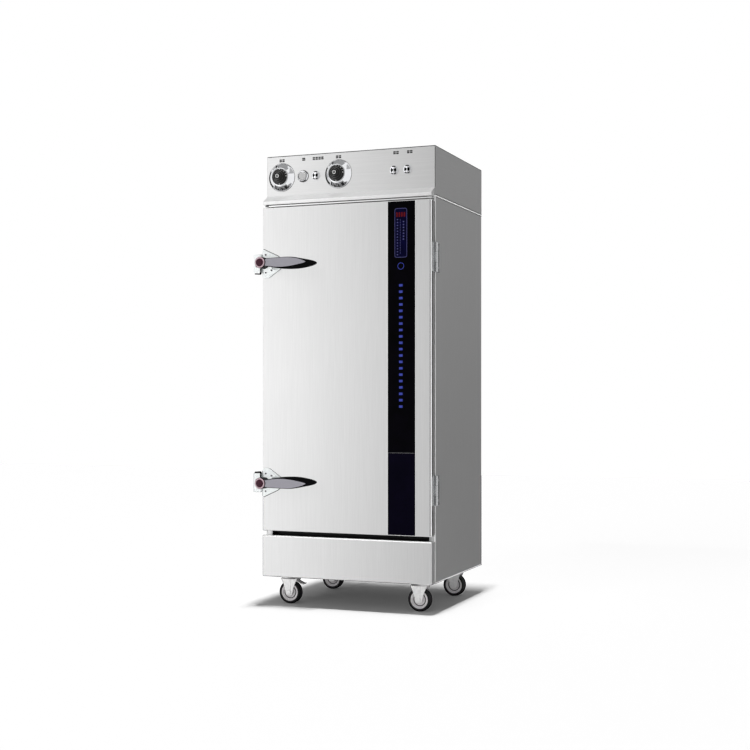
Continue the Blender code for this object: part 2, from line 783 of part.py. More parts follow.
def make_chamber():
    """The liner: the chamber over the tank, with a turned-out flange round its mouth."""
    section = [
        (LINER_FRONT, CHAMBER_BOTTOM),
        (TANK_FRONT, CHAMBER_BOTTOM),
        (TANK_FRONT, TANK_FLOOR),
        (LINER_BACK, TANK_FLOOR),
        (LINER_BACK, CHAMBER_TOP),
        (LINER_FRONT, CHAMBER_TOP),
    ]
    shape = bmesh.new()
    side = shape.faces.new([shape.verts.new((-LINER_HALF, y, z)) for y, z in section])
    grown = bmesh.ops.extrude_face_region(shape, geom=[side])["geom"]
    moved = [item for item in grown if isinstance(item, bmesh.types.BMVert)]
    bmesh.ops.translate(shape, vec=(2 * LINER_HALF, 0, 0), verts=moved)
    bmesh.ops.recalc_face_normals(shape, faces=shape.faces)
    mouth = [
        face
        for face in shape.faces
        if all(abs(vert.co.y - LINER_FRONT) < GAP for vert in face.verts)
    ]
    bmesh.ops.delete(shape, geom=mouth, context="FACES_ONLY")
    rim = [edge for edge in shape.edges if edge.is_boundary]
    turned_out = bmesh.ops.extrude_edge_only(shape, edges=rim)["geom"]
    middle = (CHAMBER_BOTTOM + CHAMBER_TOP) / 2
    for vert in (item for item in turned_out if isinstance(item, bmesh.types.BMVert)):
        vert.co.x += math.copysign(LINER_FLANGE, vert.co.x)
        vert.co.z += math.copysign(LINER_FLANGE, vert.co.z - middle)
    liner = add_object("chamber_liner", to_mesh("chamber_liner", shape), "satin_steel")
    thicken(liner, SHEET, 1)
    holes = {
        "heater_hole_left": (-HEATER_REACH, TANK_FLOOR + HEATER_RISE, HEATER_TUBE_RADIUS),
        "heater_hole_right": (HEATER_REACH, TANK_FLOOR + HEATER_RISE, HEATER_TUBE_RADIUS),
        "float_hole": (FLOAT_X, TANK_FLOOR + FLOAT_RISE, FLOAT_NECK_RADIUS),
        "vent_hole": (0, CHAMBER_TOP - VENT_DROP, VENT_RADIUS),
    }
    front, back = LINER_BACK - CUT_OVERRUN, LINER_BACK + SHEET + CUT_OVERRUN
    for name, (x, z, radius) in holes.items():
        clear = clear_radius(radius, BAR_SIDES)
        cut(liner, rod(name, (x, front, z), (x, back, z), clear, BAR_SIDES))
    y = LINER_BACK - DRAIN_BACK_ROOM
    start = (DRAIN_X, y, TANK_FLOOR - SHEET - CUT_OVERRUN)
    end = (DRAIN_X, y, TANK_FLOOR + CUT_OVERRUN)
    cut(liner, rod("drain_hole", start, end, clear_radius(DRAIN_PIPE_RADIUS, BAR_SIDES), BAR_SIDES))


def rack_ledge(level):
    """The height of the top of a level's runner, counted from the lowest."""
    return CHAMBER_BOTTOM + RACK_FIRST_RISE + level * RACK_PITCH


def make_racks():
    """A rack on each wall: two upright strips with an angle runner at each level."""
    front, back = APERTURE_FLANGE + GAP + RUNNER_SHEET, LINER_BACK - GAP - RUNNER_SHEET
    top = rack_ledge(RACK_LEVELS - 1) + RACK_FIRST_RISE / 2
    for name, side in (("tray_rack_left", -1), ("tray_rack_right", 1)):
        wall = side * (LINER_HALF - GAP)
        face = wall - side * RACK_STRIP
        strips = []
        for end, y in (("front", front + RACK_END_ROOM), ("rear", back - RACK_END_ROOM)):
            ys = (y - RACK_STRIP_WIDTH / 2, y + RACK_STRIP_WIDTH / 2)
            finish = "satin_steel" if end == "front" else None
            label = name if finish else name + "_rear_strip"
            zs = (BAFFLE_TOP + GAP, top)
            strips.append(block(label, sorted((wall, face)), ys, zs, finish))
        rack = strips[0]
        join(rack, strips[1])
        for level in range(RACK_LEVELS):
            ledge = rack_ledge(level)
            outer = face + side * RUNNER_BITE
            section = [
                (outer, ledge + RUNNER_HEIGHT),
                (outer, ledge),
                (outer - side * RUNNER_WIDTH, ledge),
            ]
            runner = sheet(f"{name}_runner_{level + 1}", section, "XZ", (front, back))
            thicken(runner, RUNNER_SHEET, side)
            join(rack, runner)


def make_baffle():
    """The slotted cover that stands over the water on its two folded legs."""
    low = TANK_FLOOR + GAP
    section = [
        (-BAFFLE_HALF_WIDTH, low),
        (-BAFFLE_HALF_WIDTH, BAFFLE_TOP),
        (BAFFLE_HALF_WIDTH, BAFFLE_TOP),
        (BAFFLE_HALF_WIDTH, low),
    ]
    baffle = sheet("baffle_plate", section, "XZ", (BAFFLE_FRONT, BAFFLE_BACK), "satin_steel")
    thicken(baffle, BAFFLE_SHEET, 1)
    length = BAFFLE_BACK - BAFFLE_FRONT
    slots = bmesh.new()
    for index in range(BAFFLE_SLOTS):
        x = ((index + 0.5) / BAFFLE_SLOTS - 0.5) * 2 * BAFFLE_HALF_WIDTH
        made = bmesh.ops.create_cube(slots, size=1)["verts"]
        end = length * BAFFLE_SLOT_END_SHARE
        size = (BAFFLE_SLOT_WIDTH, length - 2 * end, 2 * BAFFLE_SHEET + CUT_OVERRUN)
        bmesh.ops.scale(slots, vec=size, verts=made)
        place = (x, (BAFFLE_FRONT + BAFFLE_BACK) / 2, BAFFLE_TOP)
        bmesh.ops.translate(slots, vec=place, verts=made)
    cut(baffle, add_object("baffle_slots", to_mesh("baffle_slots", slots), None))


def make_heater():
    """A sheathed element that runs forwards and back twice over the tank's floor."""
    z = TANK_FLOOR + HEATER_RISE
    tail = LINER_BACK + SHEET + GAP + HEATER_PLATE + HEATER_TAIL
    front, rear = TANK_FRONT + HEATER_FRONT_ROOM, LINER_BACK - HEATER_BACK_ROOM
    bend = HEATER_LEG_SPACING / 2
    points = [(-HEATER_REACH, tail, z)]
    for leg in range(HEATER_LEGS - 1):
        middle = -HEATER_REACH + bend + leg * HEATER_LEG_SPACING
        y, way = (rear, 1) if leg % 2 else (front, -1)
        for step in range(2 * BEND_STEPS + 1):
            angle = math.pi * step / (2 * BEND_STEPS)
            x = middle - bend * math.cos(angle)
            points.append((x, y + way * bend * math.sin(angle), z))
    points.append((HEATER_REACH, tail, z))
    element = tube("heating_element", points, HEATER_TUBE_RADIUS, PIN_SIDES, "heater_sheath")
    reach = HEATER_REACH + HEATER_PLATE_MARGIN
    flange = block(
        "heater_flange",
        (-reach, reach),
        (LINER_BACK + SHEET + GAP, LINER_BACK + SHEET + GAP + HEATER_PLATE),
        (z - HEATER_PLATE_HEIGHT / 2, z + HEATER_PLATE_HEIGHT / 2),
    )
    join(element, flange)


# Water fittings


def make_float_valve():
    z = TANK_FLOOR + FLOAT_RISE
    inner = LINER_BACK - GAP
    outer = DEPTH + GAP
    nut = outer + FLOAT_NUT_LENGTH
    tail = nut + FLOAT_TAIL_LENGTH
    front = inner - FLOAT_BODY_LENGTH
    profile = [
        (0, tail),
        (FLOAT_TAIL_RADIUS, tail),
        (FLOAT_TAIL_RADIUS, nut),
        (FLOAT_NUT_RADIUS, nut),
        (FLOAT_NUT_RADIUS, outer),
        (FLOAT_NECK_RADIUS, outer),
        (FLOAT_NECK_RADIUS, inner),
        (FLOAT_BODY_RADIUS, inner),
        (FLOAT_BODY_RADIUS, front),
        (0, front),
    ]
    valve = turned("float_valve", profile, (FLOAT_X, 0, z), TO_BACK, BAR_SIDES, "brass")
    eye_y = front - FLOAT_EYE_SETBACK
    ear_x = FLOAT_EYE_WIDTH / 2 + GAP
    ys = (eye_y - FLOAT_EAR_LENGTH / 2, front + GAP * 2)
    zs = (z - FLOAT_EAR_HEIGHT / 2, z + FLOAT_EAR_HEIGHT / 2)
    for name, side in (("left", -1), ("right", 1)):
        xs = sorted((FLOAT_X + side * ear_x, FLOAT_X + side * (ear_x + FLOAT_EAR_THICKNESS)))
        join(valve, block("float_ear_" + name, xs, (ys[0], ys[1]), zs))
    reach = ear_x + FLOAT_EAR_THICKNESS / 2
    start, end = (FLOAT_X - reach, eye_y, z), (FLOAT_X + reach, eye_y, z)
    join(valve, rod("float_pin", start, end, FLOAT_PIN_RADIUS, PIN_SIDES))
    bore_start = (FLOAT_X, nut, z)
    bore_end = (FLOAT_X, tail + CUT_OVERRUN, z)
    cut(valve, rod("float_inlet", bore_start, bore_end, FLOAT_INLET_RADIUS, BAR_SIDES))

    drop = FLOAT_RISE - FLOAT_BALL_RADIUS - FLOAT_FLOOR_ROOM
    slope = math.asin(drop / FLOAT_ARM_LENGTH)
    axis = pivot("float_axis", (FLOAT_X, eye_y, z))
    ball_y, ball_z = eye_y - FLOAT_ARM_LENGTH * math.cos(slope), z - drop
    shape = bmesh.new()
    bmesh.ops.create_uvsphere(
        shape,
        u_segments=FLOAT_BALL_SIDES,
        v_segments=FLOAT_BALL_RINGS,
        radius=FLOAT_BALL_RADIUS,
    )
    arm = add_object("float_arm", to_mesh("float_arm", shape), "copper_float")
    arm.data.shade_smooth()
    arm.location = (FLOAT_X, ball_y, ball_z)
    ends = ((FLOAT_X, ball_y, ball_z), (FLOAT_X, eye_y, z))
    shank = rod("float_shank", *ends, FLOAT_ROD_RADIUS, PIN_SIDES)
    half_eye = FLOAT_EYE_WIDTH / 2
    ends = ((FLOAT_X - half_eye, eye_y, z), (FLOAT_X + half_eye, eye_y, z))
    eye = rod("float_eye", *ends, FLOAT_EYE_RADIUS, BAR_SIDES)
    ends = ((FLOAT_X - FLOAT_EYE_WIDTH, eye_y, z), (FLOAT_X + FLOAT_EYE_WIDTH, eye_y, z))
    clear = clear_radius(FLOAT_PIN_RADIUS, PIN_SIDES)
    bore = rod("float_eye_bore", *ends, clear, PIN_SIDES)
    join(arm, shank, eye)
    cut(arm, bore)
    hang(arm, axis)


def make_drain():
    """A pipe from the tank's floor to a ball valve behind the cabinet, and its lever."""
    z = BODY_BOTTOM + DRAIN_RISE
    y = LINER_BACK - DRAIN_BACK_ROOM
    top = TANK_FLOOR - GAP
    outer = DEPTH + GAP
    points = [(DRAIN_X, y, top)]
    for step in range(BEND_STEPS + 1):
        angle = math.pi / 2 * step / BEND_STEPS
        across = DRAIN_BEND_RADIUS * (1 - math.cos(angle))
        down = DRAIN_BEND_RADIUS * (1 - math.sin(angle))
        points.append((DRAIN_X, y + across, z + down))
    points.append((DRAIN_X, outer + DRAIN_NUT_LENGTH / 2, z))
    valve = tube("drain_valve", points, DRAIN_PIPE_RADIUS, BAR_SIDES, "brass")
    collar_top = TANK_FLOOR - SHEET - GAP
    ends = ((DRAIN_X, y, collar_top - DRAIN_COLLAR_HEIGHT), (DRAIN_X, y, collar_top))
    join(valve, rod("drain_collar", *ends, DRAIN_COLLAR_RADIUS, BAR_SIDES))
    nut = DRAIN_NUT_LENGTH
    taper = (DRAIN_BALL_LENGTH - DRAIN_BALL_RADIUS) / 2
    end = outer + 2 * nut + DRAIN_BALL_LENGTH
    profile = [
        (0, end),
        (DRAIN_NUT_RADIUS, end),
        (DRAIN_NUT_RADIUS, end - nut),
        (DRAIN_WAIST_RADIUS, end - nut),
        (DRAIN_BALL_RADIUS, end - nut - taper),
        (DRAIN_BALL_RADIUS, outer + nut + taper),
        (DRAIN_WAIST_RADIUS, outer + nut),
        (DRAIN_NUT_RADIUS, outer + nut),
        (DRAIN_NUT_RADIUS, outer),
        (0, outer),
    ]
    body = turned("drain_body", profile, (DRAIN_X, 0, z), TO_BACK, BAR_SIDES)
    stem_y = outer + nut + DRAIN_BALL_LENGTH / 2
    boss_top = z + DRAIN_BALL_RADIUS + DRAIN_BOSS_HEIGHT
    lever_low = boss_top + GAP
    lever_top = lever_low + DRAIN_LEVER_THICKNESS
    nut_low = lever_top + GAP
    stem = turned(
        "drain_stem",
        [
            (0, nut_low + DRAIN_STEM_NUT_HEIGHT),
            (DRAIN_STEM_NUT_RADIUS, nut_low + DRAIN_STEM_NUT_HEIGHT),
            (DRAIN_STEM_NUT_RADIUS, nut_low),
            (DRAIN_STEM_RADIUS, nut_low),
            (DRAIN_STEM_RADIUS, boss_top),
            (DRAIN_BOSS_RADIUS, boss_top),
            (DRAIN_BOSS_RADIUS, z),
            (0, z),
        ],
        (DRAIN_X, stem_y, 0),
        UPRIGHT,
        PIN_SIDES,
    )
    bore = ((DRAIN_X, end - DRAIN_BORE_LENGTH, z), (DRAIN_X, end + CUT_OVERRUN, z))
    join(valve, body, stem)
    cut(valve, rod("drain_bore", *bore, DRAIN_BORE_RADIUS, BAR_SIDES))

    half = DRAIN_LEVER_WIDTH / 2
    outline = [
        (-half, -half),
        (DRAIN_LEVER_LENGTH, -half),
        (DRAIN_LEVER_LENGTH, half),
        (-half, half),
    ]
    middle = (lever_low + lever_top) / 2
    axis = pivot("drain_lever_axis", (DRAIN_X, stem_y, middle))
    lever = plate(
        "drain_lever",
        rounded(outline, half),
        DRAIN_LEVER_THICKNESS,
        (DRAIN_X, stem_y, middle),
        UPRIGHT,
        "zinc",
    )
    ends = (
        (DRAIN_X, stem_y, lever_low - CUT_OVERRUN),
        (DRAIN_X, stem_y, lever_top + CUT_OVERRUN),
    )
    cut(lever, rod("lever_bore", *ends, clear_radius(DRAIN_STEM_RADIUS, BAR_SIDES), BAR_SIDES))
    hang(lever, axis)


def make_vent_and_gland():
    z = CHAMBER_TOP - VENT_DROP
    inner, outer, end = LINER_BACK - VENT_LIP, DEPTH + GAP, DEPTH + VENT_REACH
    bore = VENT_RADIUS - VENT_WALL
    profile = [
        (bore, end),
        (VENT_RADIUS, end),
        (VENT_RADIUS, outer + VENT_FLANGE_THICKNESS),
        (VENT_FLANGE_RADIUS, outer + VENT_FLANGE_THICKNESS),
        (VENT_FLANGE_RADIUS, outer),
        (VENT_RADIUS, outer),
        (VENT_RADIUS, inner),
        (bore, inner),
    ]
    turned("steam_vent", profile, (0, 0, z), TO_BACK, BAR_SIDES, "satin_steel")
    nut = outer + GLAND_NUT_LENGTH
    dome = nut + GLAND_DOME_LENGTH
    wall = DEPTH - SHEET - GAP
    profile = [
        (GLAND_BORE_RADIUS, dome),
        (GLAND_MOUTH_RADIUS, dome),
        (GLAND_DOME_RADIUS, nut + GLAND_DOME_LENGTH * GLAND_SHOULDER_SHARE),
        (GLAND_DOME_RADIUS, nut),
        (GLAND_NUT_RADIUS, nut),
        (GLAND_NUT_RADIUS, outer),
        (GLAND_THREAD_RADIUS, outer),
        (GLAND_THREAD_RADIUS, wall),
        (GLAND_NUT_RADIUS, wall),
        (GLAND_NUT_RADIUS, wall - GLAND_LOCKNUT_LENGTH),
        (GLAND_BORE_RADIUS, wall - GLAND_LOCKNUT_LENGTH),
    ]
    place = (GLAND_X, 0, HOOD_BOTTOM + GLAND_RISE)
    turned("cable_gland", profile, place, TO_BACK, BAR_SIDES, "black_plastic")


# Hood and control panel


def make_hood():
    hood = pan(
        "top_hood",
        (-HALF, HALF),
        (0, DEPTH),
        (HOOD_BOTTOM, TOP),
        ["-Y", "-Z"],
        "brushed_steel",
    )
    round_folds(hood, FOLD_RADIUS)
    thicken(hood, SHEET)
    z = HOOD_BOTTOM + GLAND_RISE
    ends = ((GLAND_X, DEPTH - SHEET - CUT_OVERRUN, z), (GLAND_X, DEPTH + CUT_OVERRUN, z))
    cut(hood, rod("gland_hole", *ends, clear_radius(GLAND_THREAD_RADIUS, BAR_SIDES), BAR_SIDES))

    top = TOP - SHEET - GAP
    shelf = HOOD_BOTTOM + GAP
    section = [
        (FASCIA_RETURN, top),
        (0, top),
        (0, FLARE_TOP),
        (DOOR_FRONT, LIP_TOP),
        (DOOR_FRONT, LIP_BOTTOM),
        (-GAP, LIP_BOTTOM),
        (-GAP, shelf),
        (FASCIA_RETURN, shelf),
    ]
    edge = HALF - SHEET - GAP
    shape = bmesh.new()
    cheek = shape.faces.new([shape.verts.new((-edge, y, z)) for y, z in section])
    grown = bmesh.ops.extrude_face_region(shape, geom=[cheek])["geom"]
    moved = [item for item in grown if isinstance(item, bmesh.types.BMVert)]
    bmesh.ops.translate(shape, vec=(2 * edge, 0, 0), verts=moved)
    bmesh.ops.recalc_face_normals(shape, faces=shape.faces)
    shape.normal_update()
    open_back = [
        face
        for face in shape.faces
        if face.normal.y > FACING_SHARE
        or (face.normal.z < -FACING_SHARE and face.calc_center_median().y > 0)
    ]
    bmesh.ops.delete(shape, geom=open_back, context="FACES_ONLY")
    fascia = add_object("control_fascia", to_mesh("control_fascia", shape), "brushed_steel")
    round_folds(fascia, FOLD_RADIUS, 1)
    thicken(fascia, SHEET)
    necks = {
        TIMER_X: BEZEL_NECK_RADIUS,
        THERMOSTAT_X: BEZEL_NECK_RADIUS,
        BUTTON_X: COLLAR_BARREL_RADIUS,
        LAMP_HEAT_X: LAMP_BARREL_RADIUS,
        LAMP_WORK_X: LAMP_BARREL_RADIUS,
        LAMP_POWER_X: LAMP_BARREL_RADIUS,
    }
    for x, radius in necks.items():
        ends = ((x, -CUT_OVERRUN, CONTROL_Z), (x, SHEET + CUT_OVERRUN, CONTROL_Z))
        clear = clear_radius(radius, BAR_SIDES)
        cut(fascia, rod("fascia_hole", *ends, clear, BAR_SIDES))


def make_dial(name, x):
    """A spun chrome bezel on the neck of its clockwork or thermostat case, and its knob."""
    seat, inside = GAP, -SHEET - GAP
    bore = clear_radius(SPINDLE_RADIUS, KNOB_SIDES)
    skin = BEZEL_HEIGHT - BEZEL_SHEET
    profile = [
        (bore, BEZEL_HEIGHT),
        (BEZEL_TOP_RADIUS, BEZEL_HEIGHT),
        (BEZEL_RADIUS, seat + BEZEL_RIM),
        (BEZEL_RADIUS, seat),
        (BEZEL_RADIUS - BEZEL_SHEET, seat),
        (BEZEL_TOP_RADIUS - BEZEL_SHEET, skin),
        (BEZEL_NECK_RADIUS, skin),
        (BEZEL_NECK_RADIUS, inside),
        (DIAL_CASE_RADIUS, inside),
        (DIAL_CASE_RADIUS, inside - DIAL_CASE_LENGTH),
        (bore, inside - DIAL_CASE_LENGTH),
    ]
    turned(name + "_unit", profile, (x, 0, CONTROL_Z), TO_FRONT, KNOB_SIDES, "chrome")

    low = BEZEL_HEIGHT + GAP
    high = low + KNOB_HEIGHT
    profile = [
        (0, high + KNOB_CAP_RISE),
        (KNOB_CAP_RADIUS, high + KNOB_CAP_RISE),
        (KNOB_CAP_RADIUS, high),
        (KNOB_NOSE_RADIUS, high),
    ]
    rise = (KNOB_HEIGHT - KNOB_SKIRT) / KNOB_STEPS
    run = (KNOB_RADIUS - KNOB_NOSE_RADIUS) / KNOB_STEPS
    for step in range(1, KNOB_STEPS + 1):
        outer = KNOB_NOSE_RADIUS + run * step
        profile.append((outer - run, high - rise * step))
        profile.append((outer, high - rise * step))
    profile += [
        (KNOB_RADIUS, low),
        (SPINDLE_RADIUS, low),
        (SPINDLE_RADIUS, low - SPINDLE_LENGTH),
        (0, low - SPINDLE_LENGTH),
    ]
    knob = turned(
        name + "_knob", profile, (x, 0, CONTROL_Z), TO_FRONT, KNOB_SIDES, "black_plastic"
    )
    hang(knob, pivot(name + "_axis", (x, 0, CONTROL_Z)))


def make_button():
    place = (BUTTON_X, 0, CONTROL_Z)
    floor = -COLLAR_BARREL_LENGTH + COLLAR_FLOOR
    bore = clear_radius(BUTTON_RADIUS, ROUND_SIDES)
    profile = [
        (0, floor),
        (bore, floor),
        (bore, COLLAR_HEIGHT),
        (COLLAR_TOP_RADIUS, COLLAR_HEIGHT),
        (COLLAR_RADIUS, COLLAR_HEIGHT - COLLAR_EDGE),
        (COLLAR_RADIUS, GAP),
        (COLLAR_BARREL_RADIUS, GAP),
        (COLLAR_BARREL_RADIUS, -COLLAR_BARREL_LENGTH),
        (0, -COLLAR_BARREL_LENGTH),
    ]
    turned("button_collar", profile, place, TO_FRONT, ROUND_SIDES, "chrome")
    front = COLLAR_HEIGHT + BUTTON_PROUD
    low = floor + BUTTON_TRAVEL + GAP
    profile = [
        (0, front),
        (BUTTON_RADIUS - BUTTON_EDGE, front),
        (BUTTON_RADIUS, front - BUTTON_EDGE),
        (BUTTON_RADIUS, low),
        (0, low),
    ]
    button = turned(
        "start_button", profile, place, TO_FRONT, ROUND_SIDES, "grey_plastic"
    )
    hang(button, pivot("button_axis", place))


def make_lamp(name, x):
    """A panel lamp: a flange with a domed lens, and its barrel behind the fascia."""
    low = GAP
    high = low + LAMP_FLANGE
    dome = []
    for step in range(LAMP_DOME_STEPS + 1):
        angle = math.pi / 2 * step / LAMP_DOME_STEPS
        dome.append((LAMP_DOME_RADIUS * math.sin(angle), high + LAMP_DOME_HEIGHT * math.cos(angle)))
    profile = dome + [
        (LAMP_RADIUS - LAMP_FLANGE / 2, high),
        (LAMP_RADIUS, low + LAMP_FLANGE / 2),
        (LAMP_RADIUS, low),
        (LAMP_BARREL_RADIUS, low),
        (LAMP_BARREL_RADIUS, -LAMP_BARREL_LENGTH),
        (0, -LAMP_BARREL_LENGTH),
    ]
    turned(name, profile, (x, 0, CONTROL_Z), TO_FRONT, ROUND_SIDES, "chrome")


# Door


def make_door(axis):
    skin = pan(
        "door_skin",
        (-HALF, HALF),
        (DOOR_FRONT, DOOR_BACK),
        (DOOR_BOTTOM, DOOR_TOP),
        ["+Y"],
        "brushed_steel",
    )
    round_folds(skin, DOOR_FOLD_RADIUS)
    thicken(skin, SHEET)
    inset = SHEET + GAP
    inner = pan(
        "door_inner_pan",
        (-HALF + inset, HALF - inset),
        (DOOR_BACK - PAN_FLANGE, DOOR_BACK),
        (DOOR_BOTTOM + inset, DOOR_TOP - inset),
        ["-Y"],
        "satin_steel",
    )
    round_folds(inner, DOOR_FOLD_RADIUS, 1)
    thicken(inner, SHEET)
    hole = LINER_HALF + GASKET_INSET
    outer = hole + GASKET_WIDTH
    low, high = CHAMBER_BOTTOM - GASKET_INSET, CHAMBER_TOP + GASKET_INSET
    gasket = block(
        "door_gasket",
        (-outer, outer),
        (DOOR_BACK + GAP, -GAP),
        (low - GASKET_WIDTH, high + GASKET_WIDTH),
        "white_silicone",
    )
    cut(
        gasket,
        block(
            "gasket_hole",
            (-hole, hole),
            (DOOR_BACK - CUT_OVERRUN, CUT_OVERRUN),
            (low, high),
        ),
    )
    round_folds(gasket, GASKET_EDGE, 1)
    right = HALF - STRIP_EDGE_ROOM
    strip = block(
        "door_strip",
        (right - STRIP_WIDTH, right),
        (DOOR_FRONT - GAP - STRIP_THICKNESS, DOOR_FRONT - GAP),
        (DOOR_BOTTOM + STRIP_END_ROOM, DOOR_TOP - STRIP_END_ROOM),
        "black_acrylic",
    )
    for piece in (skin, inner, gasket, strip):
        hang(piece, axis)


def make_hinge(level, z, axis):
    """A knuckled butt hinge: the frame leaf's end knuckles hold the pin, the door's turns on it."""
    low, high = z - HINGE_HEIGHT / 2, z + HINGE_HEIGHT / 2
    middle = HINGE_HEIGHT * HINGE_MIDDLE_SHARE / 2
    xs = (HALF + GAP, HALF + GAP + HINGE_LEAF)
    start = HINGE_Y + HINGE_BARREL_RADIUS + HINGE_BARREL_ROOM
    frame = block(
        "hinge_frame_leaf_" + level,
        xs,
        (start, HINGE_Y + HINGE_LEAF_REACH + HINGE_BARREL_RADIUS),
        (low, high),
        "satin_steel",
    )
    for end, (bottom, top) in {
        "lower": (low, z - middle - GAP),
        "upper": (z + middle + GAP, high),
    }.items():
        ends = ((HINGE_X, HINGE_Y, bottom), (HINGE_X, HINGE_Y, top))
        barrel = rod(f"frame_{end}_barrel_{level}", *ends, HINGE_BARREL_RADIUS, BAR_SIDES)
        neck = block(f"frame_{end}_neck_{level}", xs, (HINGE_Y, start + HINGE_LEAF), (bottom, top))
        join(frame, neck, barrel)
    overlap = HINGE_LEAF
    ends = ((HINGE_X, HINGE_Y, z - middle - overlap), (HINGE_X, HINGE_Y, z + middle + overlap))
    join(frame, rod("hinge_pin_" + level, *ends, HINGE_PIN_RADIUS, PIN_SIDES))

    leaf_end = DOOR_FRONT + HINGE_LEAF_EDGE_ROOM
    start = HINGE_Y - HINGE_BARREL_RADIUS - HINGE_BARREL_ROOM
    door = block("hinge_door_leaf_" + level, xs, (leaf_end, start), (low, high), "satin_steel")
    span = (z - middle, z + middle)
    ends = ((HINGE_X, HINGE_Y, span[0]), (HINGE_X, HINGE_Y, span[1]))
    neck = block("door_neck_" + level, xs, (start - HINGE_LEAF, HINGE_Y), span)
    join(door, neck, rod("door_barrel_" + level, *ends, HINGE_BARREL_RADIUS, BAR_SIDES))
    ends = (
        (HINGE_X, HINGE_Y, span[0] - CUT_OVERRUN),
        (HINGE_X, HINGE_Y, span[1] + CUT_OVERRUN),
    )
    clear = clear_radius(HINGE_PIN_RADIUS, PIN_SIDES)
    cut(door, rod("door_bore_" + level, *ends, clear, PIN_SIDES))
    hang(door, axis)


def make_latch(level, z, axis):
    """A lever latch: a fan-shaped base with a post and a stop pin, and the handle on it.

    The lower latch is the upper one upside down, and opens downwards.
    """
    left, way = -HALF, LATCH_WAYS[level]
    outline = [
        (left + u * LATCH_PLATE_WIDTH, z + way * v * LATCH_PLATE_HEIGHT)
        for u, v in LATCH_PLATE_SHARES[::way]
    ]
    base = plate(
        "latch_base_" + level,
        rounded(outline, LATCH_PLATE_CORNER),
        LATCH_PLATE_THICKNESS,
        (0, LATCH_FRONT + LATCH_PLATE_THICKNESS / 2, 0),
        TO_FRONT,
        "satin_steel",
    )
    seat = LATCH_PLATE_THICKNESS / 2
    hub_top = LATCH_HUB_HEIGHT
    post_top = hub_top + LATCH_POST_BITE
    post = turned(
        "latch_post_" + level,
        [
            (0, post_top),
            (LATCH_POST_RADIUS, post_top),
            (LATCH_POST_RADIUS, hub_top),
            (LATCH_HUB_RADIUS, hub_top),
            (LATCH_HUB_RADIUS, -seat),
            (0, -seat),
        ],
        (LATCH_X, LATCH_FRONT, z),
        TO_FRONT,
        BAR_SIDES,
    )
    handle_back = BOSS_BACK - HANDLE_BACK_ROOM
    stop_z = z + way * (handle_lower_edge(STOP_PIN_DISTANCE) - GAP - STOP_PIN_RADIUS)
    stop_x = LATCH_X + STOP_PIN_DISTANCE
    ends = (
        (stop_x, LATCH_FRONT + seat, stop_z),
        (stop_x, handle_back - HANDLE_THICKNESS / 2, stop_z),
    )
    join(base, post, rod("stop_pin_" + level, *ends, STOP_PIN_RADIUS, BAR_SIDES))
    hang(base, axis)

    turn = pivot("latch_axis_" + level, (LATCH_X, BOSS_BACK, z))
    outline = [
        (LATCH_X + u * HANDLE_LENGTH, z + way * v * HANDLE_WIDTH)
        for u, v in HANDLE_SHARES[::way]
    ]
    handle = plate(
        "latch_handle_" + level,
        outline,
        HANDLE_THICKNESS,
        (0, handle_back - HANDLE_THICKNESS / 2, 0),
        TO_FRONT,
        "black_plastic",
    )
    round_folds(handle, HANDLE_EDGE, 1)
    bore = clear_radius(LATCH_POST_RADIUS, BOSS_SIDES)
    crown = BOSS_HEIGHT
    profile = [
        (0, crown),
        (BOSS_CROWN_RADIUS, crown),
        (BOSS_RADIUS, crown - (BOSS_RADIUS - BOSS_CROWN_RADIUS)),
        (BOSS_RADIUS, 0),
        (bore, 0),
        (bore, LATCH_POST_BITE + 2 * GAP),
        (0, LATCH_POST_BITE + 2 * GAP),
    ]
    boss = turned("latch_boss_" + level, profile, (LATCH_X, BOSS_BACK, z), TO_FRONT, BOSS_SIDES)
    clearance = turned(
        "latch_bore_" + level,
        [
            (0, LATCH_POST_BITE + 2 * GAP),
            (bore, LATCH_POST_BITE + 2 * GAP),
            (bore, -CUT_OVERRUN),
            (0, -CUT_OVERRUN),
        ],
        (LATCH_X, BOSS_BACK, z),
        TO_FRONT,
        BOSS_SIDES,
    )
    tongue = block(
        "latch_tongue_" + level,
        (LATCH_X - TONGUE_REACH, LATCH_X - BOSS_RADIUS / 2),
        (BOSS_BACK - TONGUE_THICKNESS, BOSS_BACK - GAP / 2),
        (z - TONGUE_HEIGHT / 2, z + TONGUE_HEIGHT / 2),
    )
    cut(handle, clearance)
    join(handle, boss, tongue)
    hang(handle, turn)
    hang(turn, axis)

    front = BOSS_BACK + GAP
    wall = -HALF - GAP
    section = [(wall, KEEPER_LEG), (wall, front), (wall - KEEPER_REACH, front)]
    span = (z - KEEPER_HEIGHT / 2, z + KEEPER_HEIGHT / 2)
    keeper = sheet("keeper_" + level, section, "XY", span, "satin_steel")
    round_folds(keeper, KEEPER_FOLD_RADIUS)
    thicken(keeper, KEEPER_SHEET, -1)


def handle_lower_edge(distance):
    """The height of the handle's lower outline at a distance from its pivot."""
    share = distance / HANDLE_LENGTH
    lower = [point for point in HANDLE_SHARES if point[1] < 0]
    for (u1, v1), (u0, v0) in zip(lower, lower[1:]):
        if u0 <= share <= u1:
            return HANDLE_WIDTH * (v0 + (v1 - v0) * (share - u0) / (u1 - u0))
    return HANDLE_WIDTH * lower[-1][1]


# Casters


def caster_places():
    return {
        "front_left": (-1, CASTER_FRONT_Y),
        "front_right": (1, CASTER_FRONT_Y),
        "rear_left": (-1, CASTER_REAR_Y),
        "rear_right": (1, CASTER_REAR_Y),
    }


